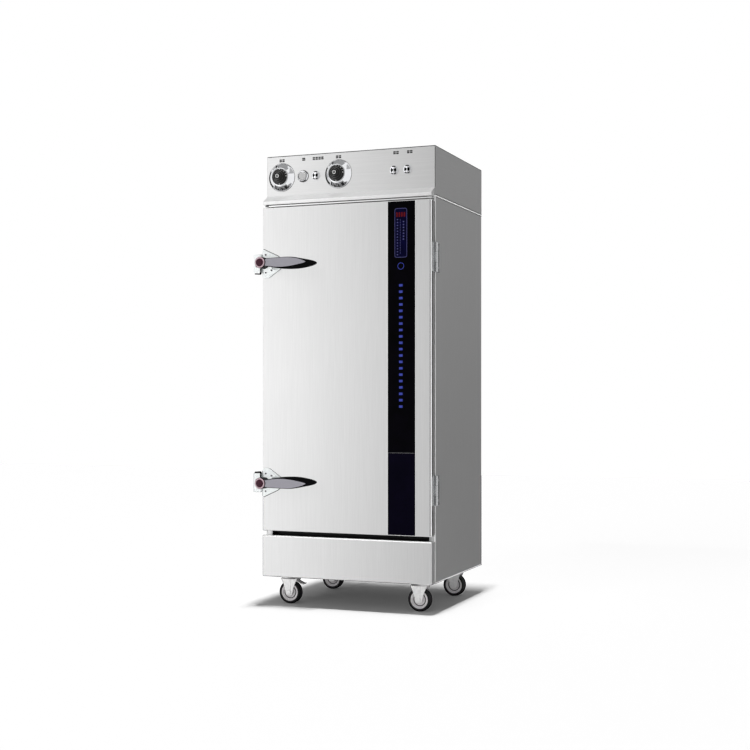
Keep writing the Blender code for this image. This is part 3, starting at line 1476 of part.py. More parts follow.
def make_caster(name, side, y, braked):
    """A swivel caster whose wheel trails towards the cabinet's middle."""
    pin_x, wheel_x = side * KINGPIN_X, side * (KINGPIN_X - CASTER_TRAIL)
    race_top = CROWN_Z + CROWN_SHEET + RACE_HEIGHT
    plate_low = race_top + GAP
    mount = block(
        "caster_plate_" + name,
        (pin_x - CASTER_PLATE_LENGTH / 2, pin_x + CASTER_PLATE_LENGTH / 2),
        (y - CASTER_PLATE_WIDTH / 2, y + CASTER_PLATE_WIDTH / 2),
        (plate_low, CASTER_TOP),
        "zinc",
    )
    head_top = CROWN_Z - GAP
    kingpin = turned(
        "kingpin_" + name,
        [
            (0, (plate_low + CASTER_TOP) / 2),
            (KINGPIN_RADIUS, (plate_low + CASTER_TOP) / 2),
            (KINGPIN_RADIUS, head_top),
            (KINGPIN_HEAD_RADIUS, head_top),
            (KINGPIN_HEAD_RADIUS, head_top - KINGPIN_HEAD_HEIGHT),
            (0, head_top - KINGPIN_HEAD_HEIGHT),
        ],
        (pin_x, y, 0),
        UPRIGHT,
        BAR_SIDES,
    )
    join(mount, kingpin)

    swivel = pivot("swivel_" + name, (pin_x, y, CROWN_Z))
    leg_inner = WHEEL_WIDTH / 2 + FORK_SIDE_ROOM
    leg_outer = leg_inner + FORK_SHEET
    fork = block(
        "caster_fork_" + name,
        (wheel_x - FORK_TOP_WIDTH / 2, wheel_x + FORK_TOP_WIDTH / 2),
        (y - leg_outer, y + leg_outer),
        (CROWN_Z, CROWN_Z + CROWN_SHEET),
        "zinc",
    )
    waist = (AXLE_Z + CROWN_Z) / 2
    outline = [
        (-FORK_TOP_WIDTH / 2, CROWN_Z + CROWN_SHEET / 2),
        (-FORK_WAIST_WIDTH / 2, waist),
        (-FORK_FOOT_RADIUS, AXLE_Z - FORK_FOOT_RADIUS),
        (FORK_FOOT_RADIUS, AXLE_Z - FORK_FOOT_RADIUS),
        (FORK_WAIST_WIDTH / 2, waist),
        (FORK_TOP_WIDTH / 2, CROWN_Z + CROWN_SHEET / 2),
    ]
    legs = []
    for end, way in (("front", -1), ("back", 1)):
        centre = y + way * (leg_inner + leg_outer) / 2
        soft = rounded(outline[1:-1], FORK_FOOT_RADIUS / 2)
        path = [outline[0], *soft[1:-1], outline[-1]]
        legs.append(
            plate(f"fork_{end}_leg_{name}", path, FORK_SHEET, (wheel_x, centre, 0), TO_FRONT)
        )
    race = rod(
        "race_" + name,
        (pin_x, y, CROWN_Z + CROWN_SHEET / 2),
        (pin_x, y, race_top),
        RACE_RADIUS,
        BAR_SIDES,
    )
    reach = leg_outer + AXLE_HEAD_LENGTH
    axle = turned(
        "axle_" + name,
        [
            (0, reach),
            (AXLE_HEAD_RADIUS, reach),
            (AXLE_HEAD_RADIUS, leg_outer - FORK_SHEET / 2),
            (AXLE_RADIUS, leg_outer - FORK_SHEET / 2),
            (AXLE_RADIUS, -leg_outer + FORK_SHEET / 2),
            (AXLE_HEAD_RADIUS, -leg_outer + FORK_SHEET / 2),
            (AXLE_HEAD_RADIUS, -reach),
            (0, -reach),
        ],
        (wheel_x, y, AXLE_Z),
        TO_BACK,
        BAR_SIDES,
    )
    bore = rod(
        "kingpin_bore_" + name,
        (pin_x, y, CROWN_Z - CUT_OVERRUN),
        (pin_x, y, race_top + CUT_OVERRUN),
        clear_radius(KINGPIN_RADIUS, BAR_SIDES),
        BAR_SIDES,
    )
    join(fork, *legs, race, axle)
    cut(fork, bore)
    hang(fork, swivel)

    wheel_axis = pivot("wheel_axis_" + name, (wheel_x, y, AXLE_Z))
    rim = WHEEL_RADIUS - TYRE_DEPTH
    axle_bore = clear_radius(AXLE_RADIUS, WHEEL_SIDES)
    half_boss, half_rim, half_web = HUB_BOSS_WIDTH / 2, HUB_RIM_WIDTH / 2, HUB_WEB / 2
    profile = [
        (axle_bore, half_boss),
        (HUB_BOSS_RADIUS, half_boss),
        (HUB_BOSS_RADIUS + HUB_DISH, half_web),
        (rim - HUB_RIM, half_rim),
        (rim, half_rim),
        (rim, -half_rim),
        (rim - HUB_RIM, -half_rim),
        (HUB_BOSS_RADIUS + HUB_DISH, -half_web),
        (HUB_BOSS_RADIUS, -half_boss),
        (axle_bore, -half_boss),
    ]
    place = (wheel_x, y, AXLE_Z)
    hub = turned("wheel_hub_" + name, profile, place, TO_BACK, WHEEL_SIDES, "grey_plastic")
    half = WHEEL_WIDTH / 2
    seat = clear_radius(rim, WHEEL_SIDES)
    shoulder = WHEEL_RADIUS - TYRE_SHOULDER
    profile = [
        (seat, half),
        (shoulder, half),
        (WHEEL_RADIUS, half - TYRE_SHOULDER),
        (WHEEL_RADIUS, -half + TYRE_SHOULDER),
        (shoulder, -half),
        (seat, -half),
    ]
    tyre = turned("tyre_" + name, profile, place, TO_BACK, WHEEL_SIDES, "rubber")
    hang(hub, wheel_axis)
    hang(tyre, wheel_axis)
    hang(wheel_axis, swivel)
    if braked:
        make_pedal(wheel_x, y, leg_inner, fork, swivel)


def make_pedal(wheel_x, y, leg_inner, fork, swivel):
    """The brake pedal over the trailing side of the wheel, on a pin across the fork's legs."""
    x, z = wheel_x + PEDAL_PIVOT_X, CROWN_Z - PEDAL_PIVOT_DROP
    reach = leg_inner + FORK_SHEET / 2
    pin = rod("pedal_pin", (x, y - reach, z), (x, y + reach, z), PEDAL_PIN_RADIUS, PIN_SIDES)
    join(fork, pin)
    half = leg_inner - FORK_SIDE_ROOM
    axis = pivot("pedal_axis", (x, y, z))
    ends = ((x, y - half, z), (x, y + half, z))
    pedal = rod("brake_pedal", *ends, PEDAL_BARREL_RADIUS, BAR_SIDES, "zinc")
    top = z + PEDAL_BARREL_RADIUS / 2
    section = [
        (x, top),
        (x + PEDAL_LENGTH - PEDAL_TREAD, top - PEDAL_DROP),
        (x + PEDAL_LENGTH, top - PEDAL_DROP),
    ]
    tread = sheet("pedal_tread", section, "XZ", (y - half, y + half))
    thicken(tread, PEDAL_SHEET, 1)
    ends = ((x, y - half - CUT_OVERRUN, z), (x, y + half + CUT_OVERRUN, z))
    join(pedal, tread)
    clear = clear_radius(PEDAL_PIN_RADIUS, PIN_SIDES)
    cut(pedal, rod("pedal_bore", *ends, clear, PIN_SIDES))
    hang(pedal, axis)
    hang(axis, swivel)


def build():
    make_body()
    make_chamber()
    make_racks()
    make_baffle()
    make_heater()
    make_float_valve()
    make_drain()
    make_vent_and_gland()
    make_hood()
    make_dial("timer", TIMER_X)
    make_dial("thermostat", THERMOSTAT_X)
    make_button()
    make_lamp("lamp_heat", LAMP_HEAT_X)
    make_lamp("lamp_work", LAMP_WORK_X)
    make_lamp("lamp_power", LAMP_POWER_X)
    door_axis = pivot("door_axis", (HINGE_X, HINGE_Y, DOOR_BOTTOM))
    make_door(door_axis)
    for level, z in HINGE_LEVELS.items():
        make_hinge(level, z, door_axis)
    for level, z in LATCH_LEVELS.items():
        make_latch(level, z, door_axis)
    for name, (side, y) in caster_places().items():
        make_caster(name, side, y, name == "front_left")
    cabinet = pivot("cabinet", (0, 0, 0))
    for piece in list(PARTS.objects) + list(CUTTERS.objects):
        if piece.parent is None and piece is not cabinet:
            piece.parent = cabinet
    cabinet.location = (ORIGIN_X, ORIGIN_Y, 0)


build()
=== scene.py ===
"""Rice steamer cabinet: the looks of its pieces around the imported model.

Metres, +Z up, the front faces -Y. Folded sheet, turned, lofted and flat pieces are surfaces
worked out on a grid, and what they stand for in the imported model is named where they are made.
"""

import math

import bmesh
import bpy
import numpy as np
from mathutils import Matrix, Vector


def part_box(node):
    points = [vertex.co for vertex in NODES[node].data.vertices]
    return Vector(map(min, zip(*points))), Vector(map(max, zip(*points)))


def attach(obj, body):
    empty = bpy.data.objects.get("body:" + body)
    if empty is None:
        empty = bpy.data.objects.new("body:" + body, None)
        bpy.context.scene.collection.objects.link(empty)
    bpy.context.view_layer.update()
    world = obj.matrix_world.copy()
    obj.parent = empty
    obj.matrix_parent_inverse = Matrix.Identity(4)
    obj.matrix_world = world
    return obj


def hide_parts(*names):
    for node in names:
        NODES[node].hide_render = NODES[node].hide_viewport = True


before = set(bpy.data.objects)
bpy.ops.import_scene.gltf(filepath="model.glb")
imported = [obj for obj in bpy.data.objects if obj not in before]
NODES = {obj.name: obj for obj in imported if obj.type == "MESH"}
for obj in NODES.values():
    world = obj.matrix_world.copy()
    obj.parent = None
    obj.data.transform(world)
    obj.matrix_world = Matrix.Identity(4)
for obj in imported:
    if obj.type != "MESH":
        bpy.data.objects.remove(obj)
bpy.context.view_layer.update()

MM = 0.001
SHEET = 1 * MM
FOLD = 3 * MM
DOOR_FOLD = 4 * MM
GAP = 0.3 * MM
INK = 0.12 * MM
SIDES = 72
WELD = 0.002 * MM
SMOOTH = math.radians(40)

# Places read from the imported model
HOOD_LOW, HOOD_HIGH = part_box("top_hood")
FACE_Y = HOOD_LOW.y
CONTROL_Z = sum(corner.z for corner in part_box("timer_knob")) / 2
LEVELS = ("top", "bottom")
CASTERS = ("front_left", "front_right", "rear_left", "rear_right")

# Right, up and outward directions of a face that looks each way
FACINGS = {
    "front": ((1, 0, 0), (0, 0, 1), (0, -1, 0)),
    "back": ((-1, 0, 0), (0, 0, 1), (0, 1, 0)),
    "right": ((0, 1, 0), (0, 0, 1), (1, 0, 0)),
    "left": ((0, -1, 0), (0, 0, 1), (-1, 0, 0)),
    "up": ((1, 0, 0), (0, 1, 0), (0, 0, 1)),
}


def mm(*values):
    """Sizes or points given in millimetres, as an array in metres."""
    return np.array(values, float) * MM


def corners(node):
    """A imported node's lowest and highest corners, as arrays."""
    low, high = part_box(node)
    return np.array(low), np.array(high)


# Camera

CAMERA_PLACE = (1.95979, -4.98042, 0.8225)
CAMERA_AZIMUTH = 21.4218526
CAMERA_LENS = 63.314
CAMERA_SENSOR = 36
CAMERA_RISE = 0.02719
CAMERA_REACH = 100


def make_camera():
    """The photograph's view: level, from the right of the front, with a small rise."""
    camera = bpy.data.objects.new("camera", bpy.data.cameras.new("camera"))
    bpy.context.scene.collection.objects.link(camera)
    camera.location = CAMERA_PLACE
    camera.rotation_euler = (math.pi / 2, 0, math.radians(CAMERA_AZIMUTH))
    camera.data.lens = CAMERA_LENS
    camera.data.sensor_width = CAMERA_SENSOR
    camera.data.shift_y = CAMERA_RISE
    camera.data.clip_end = CAMERA_REACH
    bpy.context.scene.camera = camera


# Shader nodes


def linear(colour):
    """sRGB hex to linear light: c / 12.92 up to 0.04045, else ((c + 0.055) / 1.055) ^ 2.4."""
    c = np.array([int(colour[i : i + 2], 16) for i in (1, 3, 5)]) / 255
    light = np.where(c <= 0.04045, c / 12.92, ((c + 0.055) / 1.055) ** 2.4)
    return (*map(float, light), 1.0)


def add(tree, kind, settings=None, links=None):
    """Adds a node. Lower-case settings are its own, and the rest are its sockets' values."""
    node = tree.nodes.new("ShaderNode" + kind)
    for key, value in (settings or {}).items():
        if isinstance(key, str) and key[0].islower():
            setattr(node, key, value)
        else:
            node.inputs[key].default_value = value
    for key, (source, output) in (links or {}).items():
        tree.links.new(source.outputs[output], node.inputs[key])
    return node


def new_material(name, colour, roughness, metallic=0.0, shine=0.5, milk=0.0):
    """A material with its shader's uniform values set on the shader's own sockets."""
    material = bpy.data.materials.new(name)
    material.use_nodes = True
    shader = material.node_tree.nodes["Principled BSDF"]
    sockets = {
        "Base Color": linear(colour),
        "Roughness": roughness,
        "Metallic": metallic,
        "Specular IOR Level": shine,
        "Subsurface Weight": milk,
    }
    for key, value in sockets.items():
        shader.inputs[key].default_value = value
    material.diffuse_color = linear(colour)
    return material, material.node_tree, shader


# Surfaces

# A corner's rounding takes at most this share of a side, and a flat piece's rounded edge
# this share of its thickness
SIDE_SHARE, EDGE_SHARE = 0.42, 0.49
LEAST_STEP, LEAST_CORNER, LEAST_COSINE, TINY = 1e-7, 0.1 * MM, 0.35, 1e-12


def soften(line, radius, steps=5, closed=False, hold=0.15):
    """Rounds the corners of a line of (u, v) points.

    Each corner C becomes A(1-t)^2 + 2Ct(1-t) + Bt^2, where A and B lie on its two sides at
    the radius, or at 0.42 of a side where that is less. A point just outside A and B holds
    the flats flat.
    """
    line = np.asarray(line, float)
    back = np.roll(line, 1, axis=0) - line
    ahead = np.roll(line, -1, axis=0) - line
    lengths = [np.maximum(np.linalg.norm(side, axis=1), TINY) for side in (back, ahead)]
    reach = np.minimum(np.broadcast_to(radius, len(line)), SIDE_SHARE * np.minimum(*lengths))
    if not closed:
        reach[[0, -1]] = 0
    start = back / lengths[0][:, None] * reach[:, None]
    end = ahead / lengths[1][:, None] * reach[:, None]
    t = np.linspace(0, 1, steps + 1)[None, :, None]
    arcs = line[:, None] + start[:, None] * (1 - t) ** 2 + end[:, None] * t**2
    first, last = line + start * (1 + hold), line + end * (1 + hold)
    arcs = np.concatenate([first[:, None], arcs, last[:, None]], axis=1)
    points = arcs.reshape(-1, line.shape[1])
    step = np.linalg.norm(np.diff(points, axis=0, prepend=points[:1] - 1), axis=1)
    return points[step > LEAST_STEP]


def offset(line, distance, closed=False):
    """Moves a line sideways, to its left for a positive distance, with mitred corners."""
    line = np.asarray(line, float)
    ahead = np.roll(line, -1, axis=0) - line
    ahead /= np.maximum(np.linalg.norm(ahead, axis=1), TINY)[:, None]
    back = np.roll(ahead, 1, axis=0)
    if not closed:
        back[0], ahead[-1] = ahead[0], back[-1]
    normal = np.stack([-(back + ahead)[:, 1], (back + ahead)[:, 0]], axis=1)
    normal /= np.maximum(np.linalg.norm(normal, axis=1), TINY)[:, None]
    cosine = normal[:, 0] * -ahead[:, 1] + normal[:, 1] * ahead[:, 0]
    return line + normal * (distance / np.maximum(cosine, LEAST_COSINE))[:, None]


def mesh_object(name, points, faces):
    """A mesh object with its doubles merged and its faces pointing outwards."""
    mesh = bpy.data.meshes.new(name)
    mesh.from_pydata(np.asarray(points).reshape(-1, 3).tolist(), [], faces)
    shape = bmesh.new()
    shape.from_mesh(mesh)
    bmesh.ops.remove_doubles(shape, verts=shape.verts, dist=WELD)
    bmesh.ops.dissolve_degenerate(shape, edges=shape.edges, dist=WELD)
    bmesh.ops.recalc_face_normals(shape, faces=shape.faces)
    shape.to_mesh(mesh)
    shape.free()
    mesh.shade_smooth()
    mesh.set_sharp_from_angle(angle=SMOOTH)
    piece = bpy.data.objects.new(name, mesh)
    bpy.context.scene.collection.objects.link(piece)
    return piece


def loft_faces(rows, columns, ring=False):
    """Quads that join closed rows of points. The end rows get a face each, unless a ring."""
    steps = np.arange(rows if ring else rows - 1)
    i, j = np.meshgrid(steps, np.arange(columns), indexing="ij")
    across, here, there = (j + 1) % columns, i * columns, (i + 1) % rows * columns
    quads = (here + j, here + across, there + across, there + j)
    faces = np.stack(quads, axis=-1).reshape(-1, 4).tolist()
    if not ring:
        faces.append(list(range(columns))[::-1])
        faces.append(list(range((rows - 1) * columns, rows * columns)))
    return faces


def loft(name, rows, ring=False):
    """A closed surface through rows of points that each go once round the piece."""
    rows = np.asarray(rows, float)
    return mesh_object(name, rows, loft_faces(rows.shape[0], rows.shape[1], ring))


def joined(name, *pieces):
    """One object from several closed shells that are made of the same piece of stuff."""
    shape = bmesh.new()
    for piece in pieces:
        shape.from_mesh(piece.data)
    shape.to_mesh(pieces[0].data)
    shape.free()
    for piece in pieces[1:]:
        bpy.data.objects.remove(piece)
    pieces[0].name = pieces[0].data.name = name
    return pieces[0]


def turned(name, profile, centre, facing, sides=SIDES, ring=False):
    """A turned piece: centre + height * out + radius * (right cos t + up sin t).

    A ring's profile closes on itself, and any other ends on the axis.
    """
    profile = np.asarray(profile, float)
    right, up, out = (np.array(v, float) for v in FACINGS[facing])
    t = 2 * np.pi * np.arange(sides) / sides
    circle = np.cos(t)[:, None] * right + np.sin(t)[:, None] * up
    rows = np.asarray(centre, float) + profile[:, 1, None, None] * out
    return loft(name, rows + profile[:, 0, None, None] * circle[None], ring)


def anticlockwise(outline):
    """An outline whose area, half the sum of u_i v_(i+1) - u_(i+1) v_i, is positive."""
    outline = np.asarray(outline, float)
    ahead = np.roll(outline, -1, axis=0)
    area = np.sum(outline[:, 0] * ahead[:, 1] - outline[:, 1] * ahead[:, 0])
    return outline if area > 0 else outline[::-1]


def flat(name, outline, low, high, centre, facing, edge=0.5 * MM, steps=3):
    """A flat piece: its outline from height low to high, with rounded edges.

    Row k is the outline moved inwards by edge (1 - sin t) at height low + edge (1 - cos t),
    for t from 0 to a quarter turn, and the same turned over at the top.
    """
    edge = min(edge, EDGE_SHARE * (high - low))
    t = np.linspace(0, np.pi / 2, steps + 1)
    lower = np.column_stack([edge * (1 - np.sin(t)), low + edge * (1 - np.cos(t))])
    upper = np.column_stack([lower[::-1, 0], high + low - lower[::-1, 1]])
    section = np.concatenate([[(1.2 * edge, low)], lower, upper, [(1.2 * edge, high)]])
    right, up, out = (np.array(v, float) for v in FACINGS[facing])
    outline = anticlockwise(outline)
    rows = [
        np.asarray(centre, float)
        + offset(outline, inwards, closed=True) @ np.stack([right, up])
        + height * out
        for inwards, height in section
    ]
    return loft(name, rows)


def smoothed(outline, rounds=3):
    """Cuts an outline's corners: each side keeps its points at a quarter and three quarters."""
    outline = np.asarray(outline, float)
    for _ in range(rounds):
        ahead = np.roll(outline, -1, axis=0)
        pair = np.stack([0.75 * outline + 0.25 * ahead, 0.25 * outline + 0.75 * ahead], axis=1)
        outline = pair.reshape(-1, 2)
    return outline


def rectangle(half_u, half_v, corner, steps=5):
    """A rectangle's outline with rounded corners, anticlockwise from the lower left."""
    line = [(-half_u, -half_v), (half_u, -half_v), (half_u, half_v), (-half_u, half_v)]
    return soften(line, corner, steps, closed=True)


def rectangle_row(centre_u, centre_v, half_u, half_v, corner, steps=5):
    """A rounded rectangle with the same number of points whatever its size.

    Each corner is an arc of that radius round a centre that lies the radius inside it.
    """
    t = np.linspace(0, np.pi / 2, steps + 1)
    rows = []
    for quarter, (u, v) in enumerate(((1, 1), (-1, 1), (-1, -1), (1, -1))):
        angle = t + quarter * np.pi / 2
        arc_u = centre_u + u * (half_u - corner) + corner * np.cos(angle)
        arc_v = centre_v + v * (half_v - corner) + corner * np.sin(angle)
        rows.append(np.stack([arc_u, arc_v], axis=1))
    return np.concatenate(rows)


def tray(name, low, high, fold, sheet, corner, facing="front"):
    """A folded tray that is open behind: a face with four folded walls, in sheet.

    Row k is a rounded rectangle, inset by i_k at depth d_k, and (i, d) runs from the face
    round the fold, along the wall to its rim and back inside.
    """
    depth = high[1] - low[1]
    outer = soften([(3 * fold, 0), (0, 0), (0, depth)], fold)
    inner = soften([(sheet, depth), (sheet, sheet), (3 * fold, sheet)], fold - sheet)
    section = np.concatenate([outer, inner])
    centre, half = (low + high) / 2, (high - low) / 2
    rows = []
    for inset, deep in section:
        least = max(corner - inset, LEAST_CORNER)
        ring = rectangle_row(*centre[[0, 2]], *(half[[0, 2]] - inset), least)
        y = low[1] + deep if facing == "front" else high[1] - deep
        rows.append(np.insert(ring, 1, y, axis=1))
    return loft(name, rows)


def folded(name, line, sheet, fold, start, end, along="z"):
    """A folded strip: a line of (u, v) points with rounded folds, given its thickness to
    its left, and run from start to end along an axis."""
    outer = soften(line, fold)
    section = np.concatenate([outer, offset(outer, sheet)[::-1]])
    order = {"z": (0, 1, 2), "x": (2, 0, 1), "y": (0, 2, 1)}[along]
    rows = []
    for place in (start, end):
        local = np.column_stack([section, np.full(len(section), place)])
        rows.append(local[:, list(order)])
    return loft(name, rows)


def bar(name, path, radius, sides=16):
    """A round bar along a path: path + radius * (n cos t + b sin t), with n and b square to
    the way along it."""
    path = np.asarray(path, float)
    way = np.gradient(path, axis=0)
    way /= np.linalg.norm(way, axis=1)[:, None]
    helper = np.array([1.0, 0, 0]) if abs(way[:, 0]).max() < 0.9 else np.array([0, 0, 1.0])
    normal = np.cross(way, helper)
    normal /= np.linalg.norm(normal, axis=1)[:, None]
    across = np.cross(way, normal)
    t = 2 * np.pi * np.arange(sides) / sides
    circle = normal[:, None] * np.cos(t)[None, :, None] + across[:, None] * np.sin(t)[None, :, None]
    return loft(name, path[:, None] + radius * circle)


def fit(piece, finish, body, slot, *stands_for):
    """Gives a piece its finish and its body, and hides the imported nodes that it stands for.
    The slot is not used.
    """
    piece.data.materials.clear()
    piece.data.materials.append(finish)
    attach(piece, body)
    if stands_for:
        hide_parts(*stands_for)
    return piece


def unmirrored(*pieces):
    """Keeps pieces out of the sheet's reflections, as the photo's sheet doesn't mirror them."""
    for piece in pieces:
        piece.visible_glossy = False


# Materials

# The part of a noise's range that carries one colour to the other
MIDDLE = {"From Min": 0.35, "From Max": 0.65}
STREAK_SCALE, STREAK_ALONG = 330.0, 7.0
GRAIN_SCALE, GRAIN_ALONG = 1250.0, 12.0
CLOUD_SCALE = 5.0
GROUND_SPREAD = 0.01
GROUND_RELIEF = (0.02, 0.01 * MM)
SPECKLE_RELIEF = 0.35
LEAST_ROUGHNESS = 0.02


def finished(material, tree, shader, colours, share, rough, relief, height):
    """Links a material's two colours, its roughness and its bump, and returns it."""
    mixed = {"data_type": "RGBA", 6: linear(colours[0]), 7: linear(colours[1])}
    tint = add(tree, "Mix", mixed, {0: (share, 0)})
    settings = {"Strength": relief[0], "Distance": relief[1]}
    bump = add(tree, "Bump", settings, {"Height": (height, 0)})
    tree.links.new(tint.outputs[2], shader.inputs["Base Color"])
    tree.links.new(rough.outputs[0], shader.inputs["Roughness"])
    tree.links.new(bump.outputs[0], shader.inputs["Normal"])
    return material


def brushed(name, colour, streak, grain_axis, roughness):
    """Stainless steel sheet, belt ground along one way and then polished a little.

    Soft streaks 3 mm wide and a finger long carry most of it in the render, since the real
    grain of about 0.1 mm is finer than a pixel. It is drawn at 0.8 mm in the bump.
    """
    material, tree, shader = new_material(name, colour, roughness, 1.0)
    place = (add(tree, "TexCoord"), "Object")
    wide, fine = [STREAK_SCALE] * 3, [GRAIN_SCALE] * 3
    wide[grain_axis], fine[grain_axis] = STREAK_ALONG, GRAIN_ALONG
    broad, close = (
        (add(tree, "Mapping", {"Scale": scale}, {"Vector": place}), 0) for scale in (wide, fine)
    )
    settings = {"Scale": 1.0, "Detail": 3.0, "Roughness": 0.55}
    streaks = add(tree, "TexNoise", settings, {"Vector": broad})
    settings = {"Scale": CLOUD_SCALE, "Detail": 2.0}
    cloud = add(tree, "TexNoise", settings, {"Vector": place})
    grain = add(tree, "TexNoise", {"Scale": 1.0, "Detail": 2.0}, {"Vector": close})
    share = add(tree, "MapRange", MIDDLE, {"Value": (streaks, 0)})
    ends = {"To Min": roughness - GROUND_SPREAD, "To Max": roughness + GROUND_SPREAD}
    ends = {"From Min": 0.3, "From Max": 0.7, **ends}
    rough = add(tree, "MapRange", ends, {"Value": (cloud, 0)})
    return finished(material, tree, shader, (colour, streak), share, rough, GROUND_RELIEF, grain)


def speckled(
    name, colour, other, roughness, size, depth=0.0, metallic=0.0, spread=0.05, shine=0.5, milk=0.0
):
    """A material whose colour, roughness and surface vary with a noise.

    The noise's size and the bump's depth are in metres. Shine scales the reflection of what
    isn't metal, and milk is the share of light that goes in under the surface.
    """
    material, tree, shader = new_material(name, colour, roughness, metallic, shine, milk)
    place = (add(tree, "TexCoord"), "Object")
    settings = {"Scale": 1 / size, "Detail": 4.0, "Roughness": 0.6}
    spots = add(tree, "TexNoise", settings, {"Vector": place})
    share = add(tree, "MapRange", MIDDLE, {"Value": (spots, 0)})
    ends = {"To Min": max(roughness - spread, LEAST_ROUGHNESS), "To Max": roughness + spread}
    rough = add(tree, "MapRange", ends, {"Value": (spots, 0)})
    relief = (SPECKLE_RELIEF, depth)
    return finished(material, tree, shader, (colour, other), share, rough, relief, spots)


# Ground stainless sheet of the door, sides and skirt: a soft shine with upright streaks
GROUND_UPRIGHT = brushed("ground_stainless_upright", "#E3E3E3", "#DFDFDF", 2, 0.40)
# The same sheet with its grain across, on the control panel
GROUND_ACROSS = brushed("ground_stainless_across", "#E1E1E1", "#DDDDDD", 0, 0.38)
# The same sheet with its grain from front to back, on the hood's top
GROUND_DEEP = brushed("ground_stainless_deep", "#E2E2E2", "#DEDEDE", 1, 0.40)
# Mill finish 2B stainless of the chamber and door pan: greyer and softer
MILL_STEEL = brushed("mill_stainless", "#C9CACB", "#BFC0C1", 2, 0.36)
# Nickel-chrome plate of the spun bezels, the collar and the lamps: a clear mirror
CHROME = speckled("chrome_plate", "#EDEEF0", "#E6E7EA", 0.07, 30 * MM, 0.0, 1.0, 0.02)
# Barrel-zinc plate of the casters' pressings: pale grey and a little cloudy
ZINC = speckled("zinc_plate", "#F2F1F1", "#E4E3E3", 0.42, 9 * MM, 0.03 * MM, 0.4)
# Glass-filled nylon, moulded: near black, with hardly any shine and a fine eroded grain
NYLON = speckled("black_nylon", "#040405", "#070708", 0.38, 0.9 * MM, 0.04 * MM, shine=0.03)
# Phenolic knobs: a greyer black than the nylon, and glossier
PHENOLIC = speckled("black_phenolic", "#141414", "#1B1B1B", 0.22, 2.5 * MM, 0.01 * MM, shine=0.25)
# Soft-touch insert of the handles: a mauve grey with a fine matt grain
INSERT = speckled("grey_thermoplastic", "#98969E", "#89878F", 0.55, 1.2 * MM, 0.05 * MM)
# Moulded cap over the handle's screw: dark maroon
MAROON = speckled("maroon_polystyrene", "#3C0E24", "#2E0A1B", 0.3, 4 * MM, 0.02 * MM, shine=0.2)
# Ring round that cap: a pinkish grey
PINK_RING = speckled("pinkish_nylon", "#B9A0A8", "#AC929B", 0.40, 3 * MM, 0.02 * MM)
# Polyurethane tyres: black, matt, a little dusty
TYRE = speckled(
    "black_polyurethane", "#0A0A0B", "#131314", 0.62, 5 * MM, 0.08 * MM, spread=0.1, shine=0.3
)
# Polypropylene wheel centres: light grey, faintly pink
HUB = speckled("grey_polypropylene", "#E4E1E2", "#D6D2D4", 0.45, 3 * MM, 0.03 * MM)
# Back-painted acrylic strip: deep black with hardly a reflection, and navy in its lower part
ACRYLIC = speckled("black_acrylic", "#020203", "#040307", 0.2, 60 * MM, spread=0.02, shine=0.02)
NAVY_ACRYLIC = speckled("navy_acrylic", "#04030D", "#060412", 0.2, 60 * MM, spread=0.02, shine=0.02)
# Screen-printed inks on the acrylic: bright blue bars, a slate frame with its dots, a navy
# field inside it, and dark red bars
BLUE_INK = speckled("blue_screen_ink", "#2236A8", "#1C2C90", 0.45, 2 * MM, 0.01 * MM)
DIM_INK = speckled("slate_screen_ink", "#3C3C78", "#2C2C5C", 0.45, 4 * MM, 0.01 * MM)
FIELD_INK = speckled("navy_screen_ink", "#05052A", "#04041C", 0.4, 20 * MM, spread=0.02, shine=0.02)
RED_INK = speckled("red_screen_ink", "#6A0D12", "#3E060A", 0.5, 3 * MM, 0.01 * MM, shine=0.05)
# Screen-printed inks on the panel and the knobs: black marks, white ticks. The black also
# paints dark reflection and shade on the bezels and the button's collar, the white a glint
# round each knob's centre, and the mottled grey is a painted reflection on the bezels
BLACK_INK_AND_SHADE = speckled("black_ink_and_painted_shade", "#0C0C0D", "#151516", 0.55, 1 * MM, 0.01 * MM, shine=0.2)
WHITE_INK_AND_GLINT = speckled("white_ink_and_painted_glint", "#EEEEEE", "#E2E2E2", 0.50, 1 * MM, 0.01 * MM)
GREY_PAINTED_REFLECTION = speckled("grey_painted_reflection", "#9A9A9C", "#48484A", 0.5, 5 * MM, 0.01 * MM)
# Vitreous enamel on the gutter, almost black; the black also paints the deep shade in the slot
# under the door
ENAMEL_AND_SLOT_SHADE = speckled("black_enamel", "#060607", "#0A0A0B", 0.3, 6 * MM, 0.02 * MM, shine=0.15)
# Food-grade silicone of the door seal: milky and matt
SILICONE = speckled("white_silicone", "#DAD9D3", "#D0CFC8", 0.55, 4 * MM, 0.03 * MM, milk=0.1)
# ABS of the push button: a plain light grey
ABS_GREY = speckled("grey_abs", "#C2C2C2", "#B8B8B8", 0.38, 1.5 * MM, 0.03 * MM)
# Machined brass of the water fittings: yellow, with fine tool marks
BRASS = speckled("machined_brass", "#C2A366", "#B29255", 0.30, 4 * MM, 0.02 * MM, 1.0)
# Spun copper of the float's ball: a dull orange
COPPER = speckled("spun_copper", "#C98A5E", "#B87848", 0.34, 6 * MM, 0.02 * MM, 1.0)
# Incoloy sheath of the heater: dull, browned by heat
SHEATH = speckled("heater_incoloy", "#77736E", "#665F58", 0.48, 8 * MM, 0.03 * MM, 1.0)
# Polished stainless of the hinges: brighter and sharper than the sheet
POLISHED = speckled("polished_stainless", "#D4D5D6", "#C6C7C8", 0.22, 5 * MM, 0.02 * MM, 1.0)
# Painted highlight: a matt white on the beads, which keeps them bright from every side in
# place of the glints along the panels' edges
HIGHLIGHT_WHITE = speckled("white_painted_highlight", "#FCFCFC", "#F8F8F8", 0.3, 8 * MM, spread=0.02)
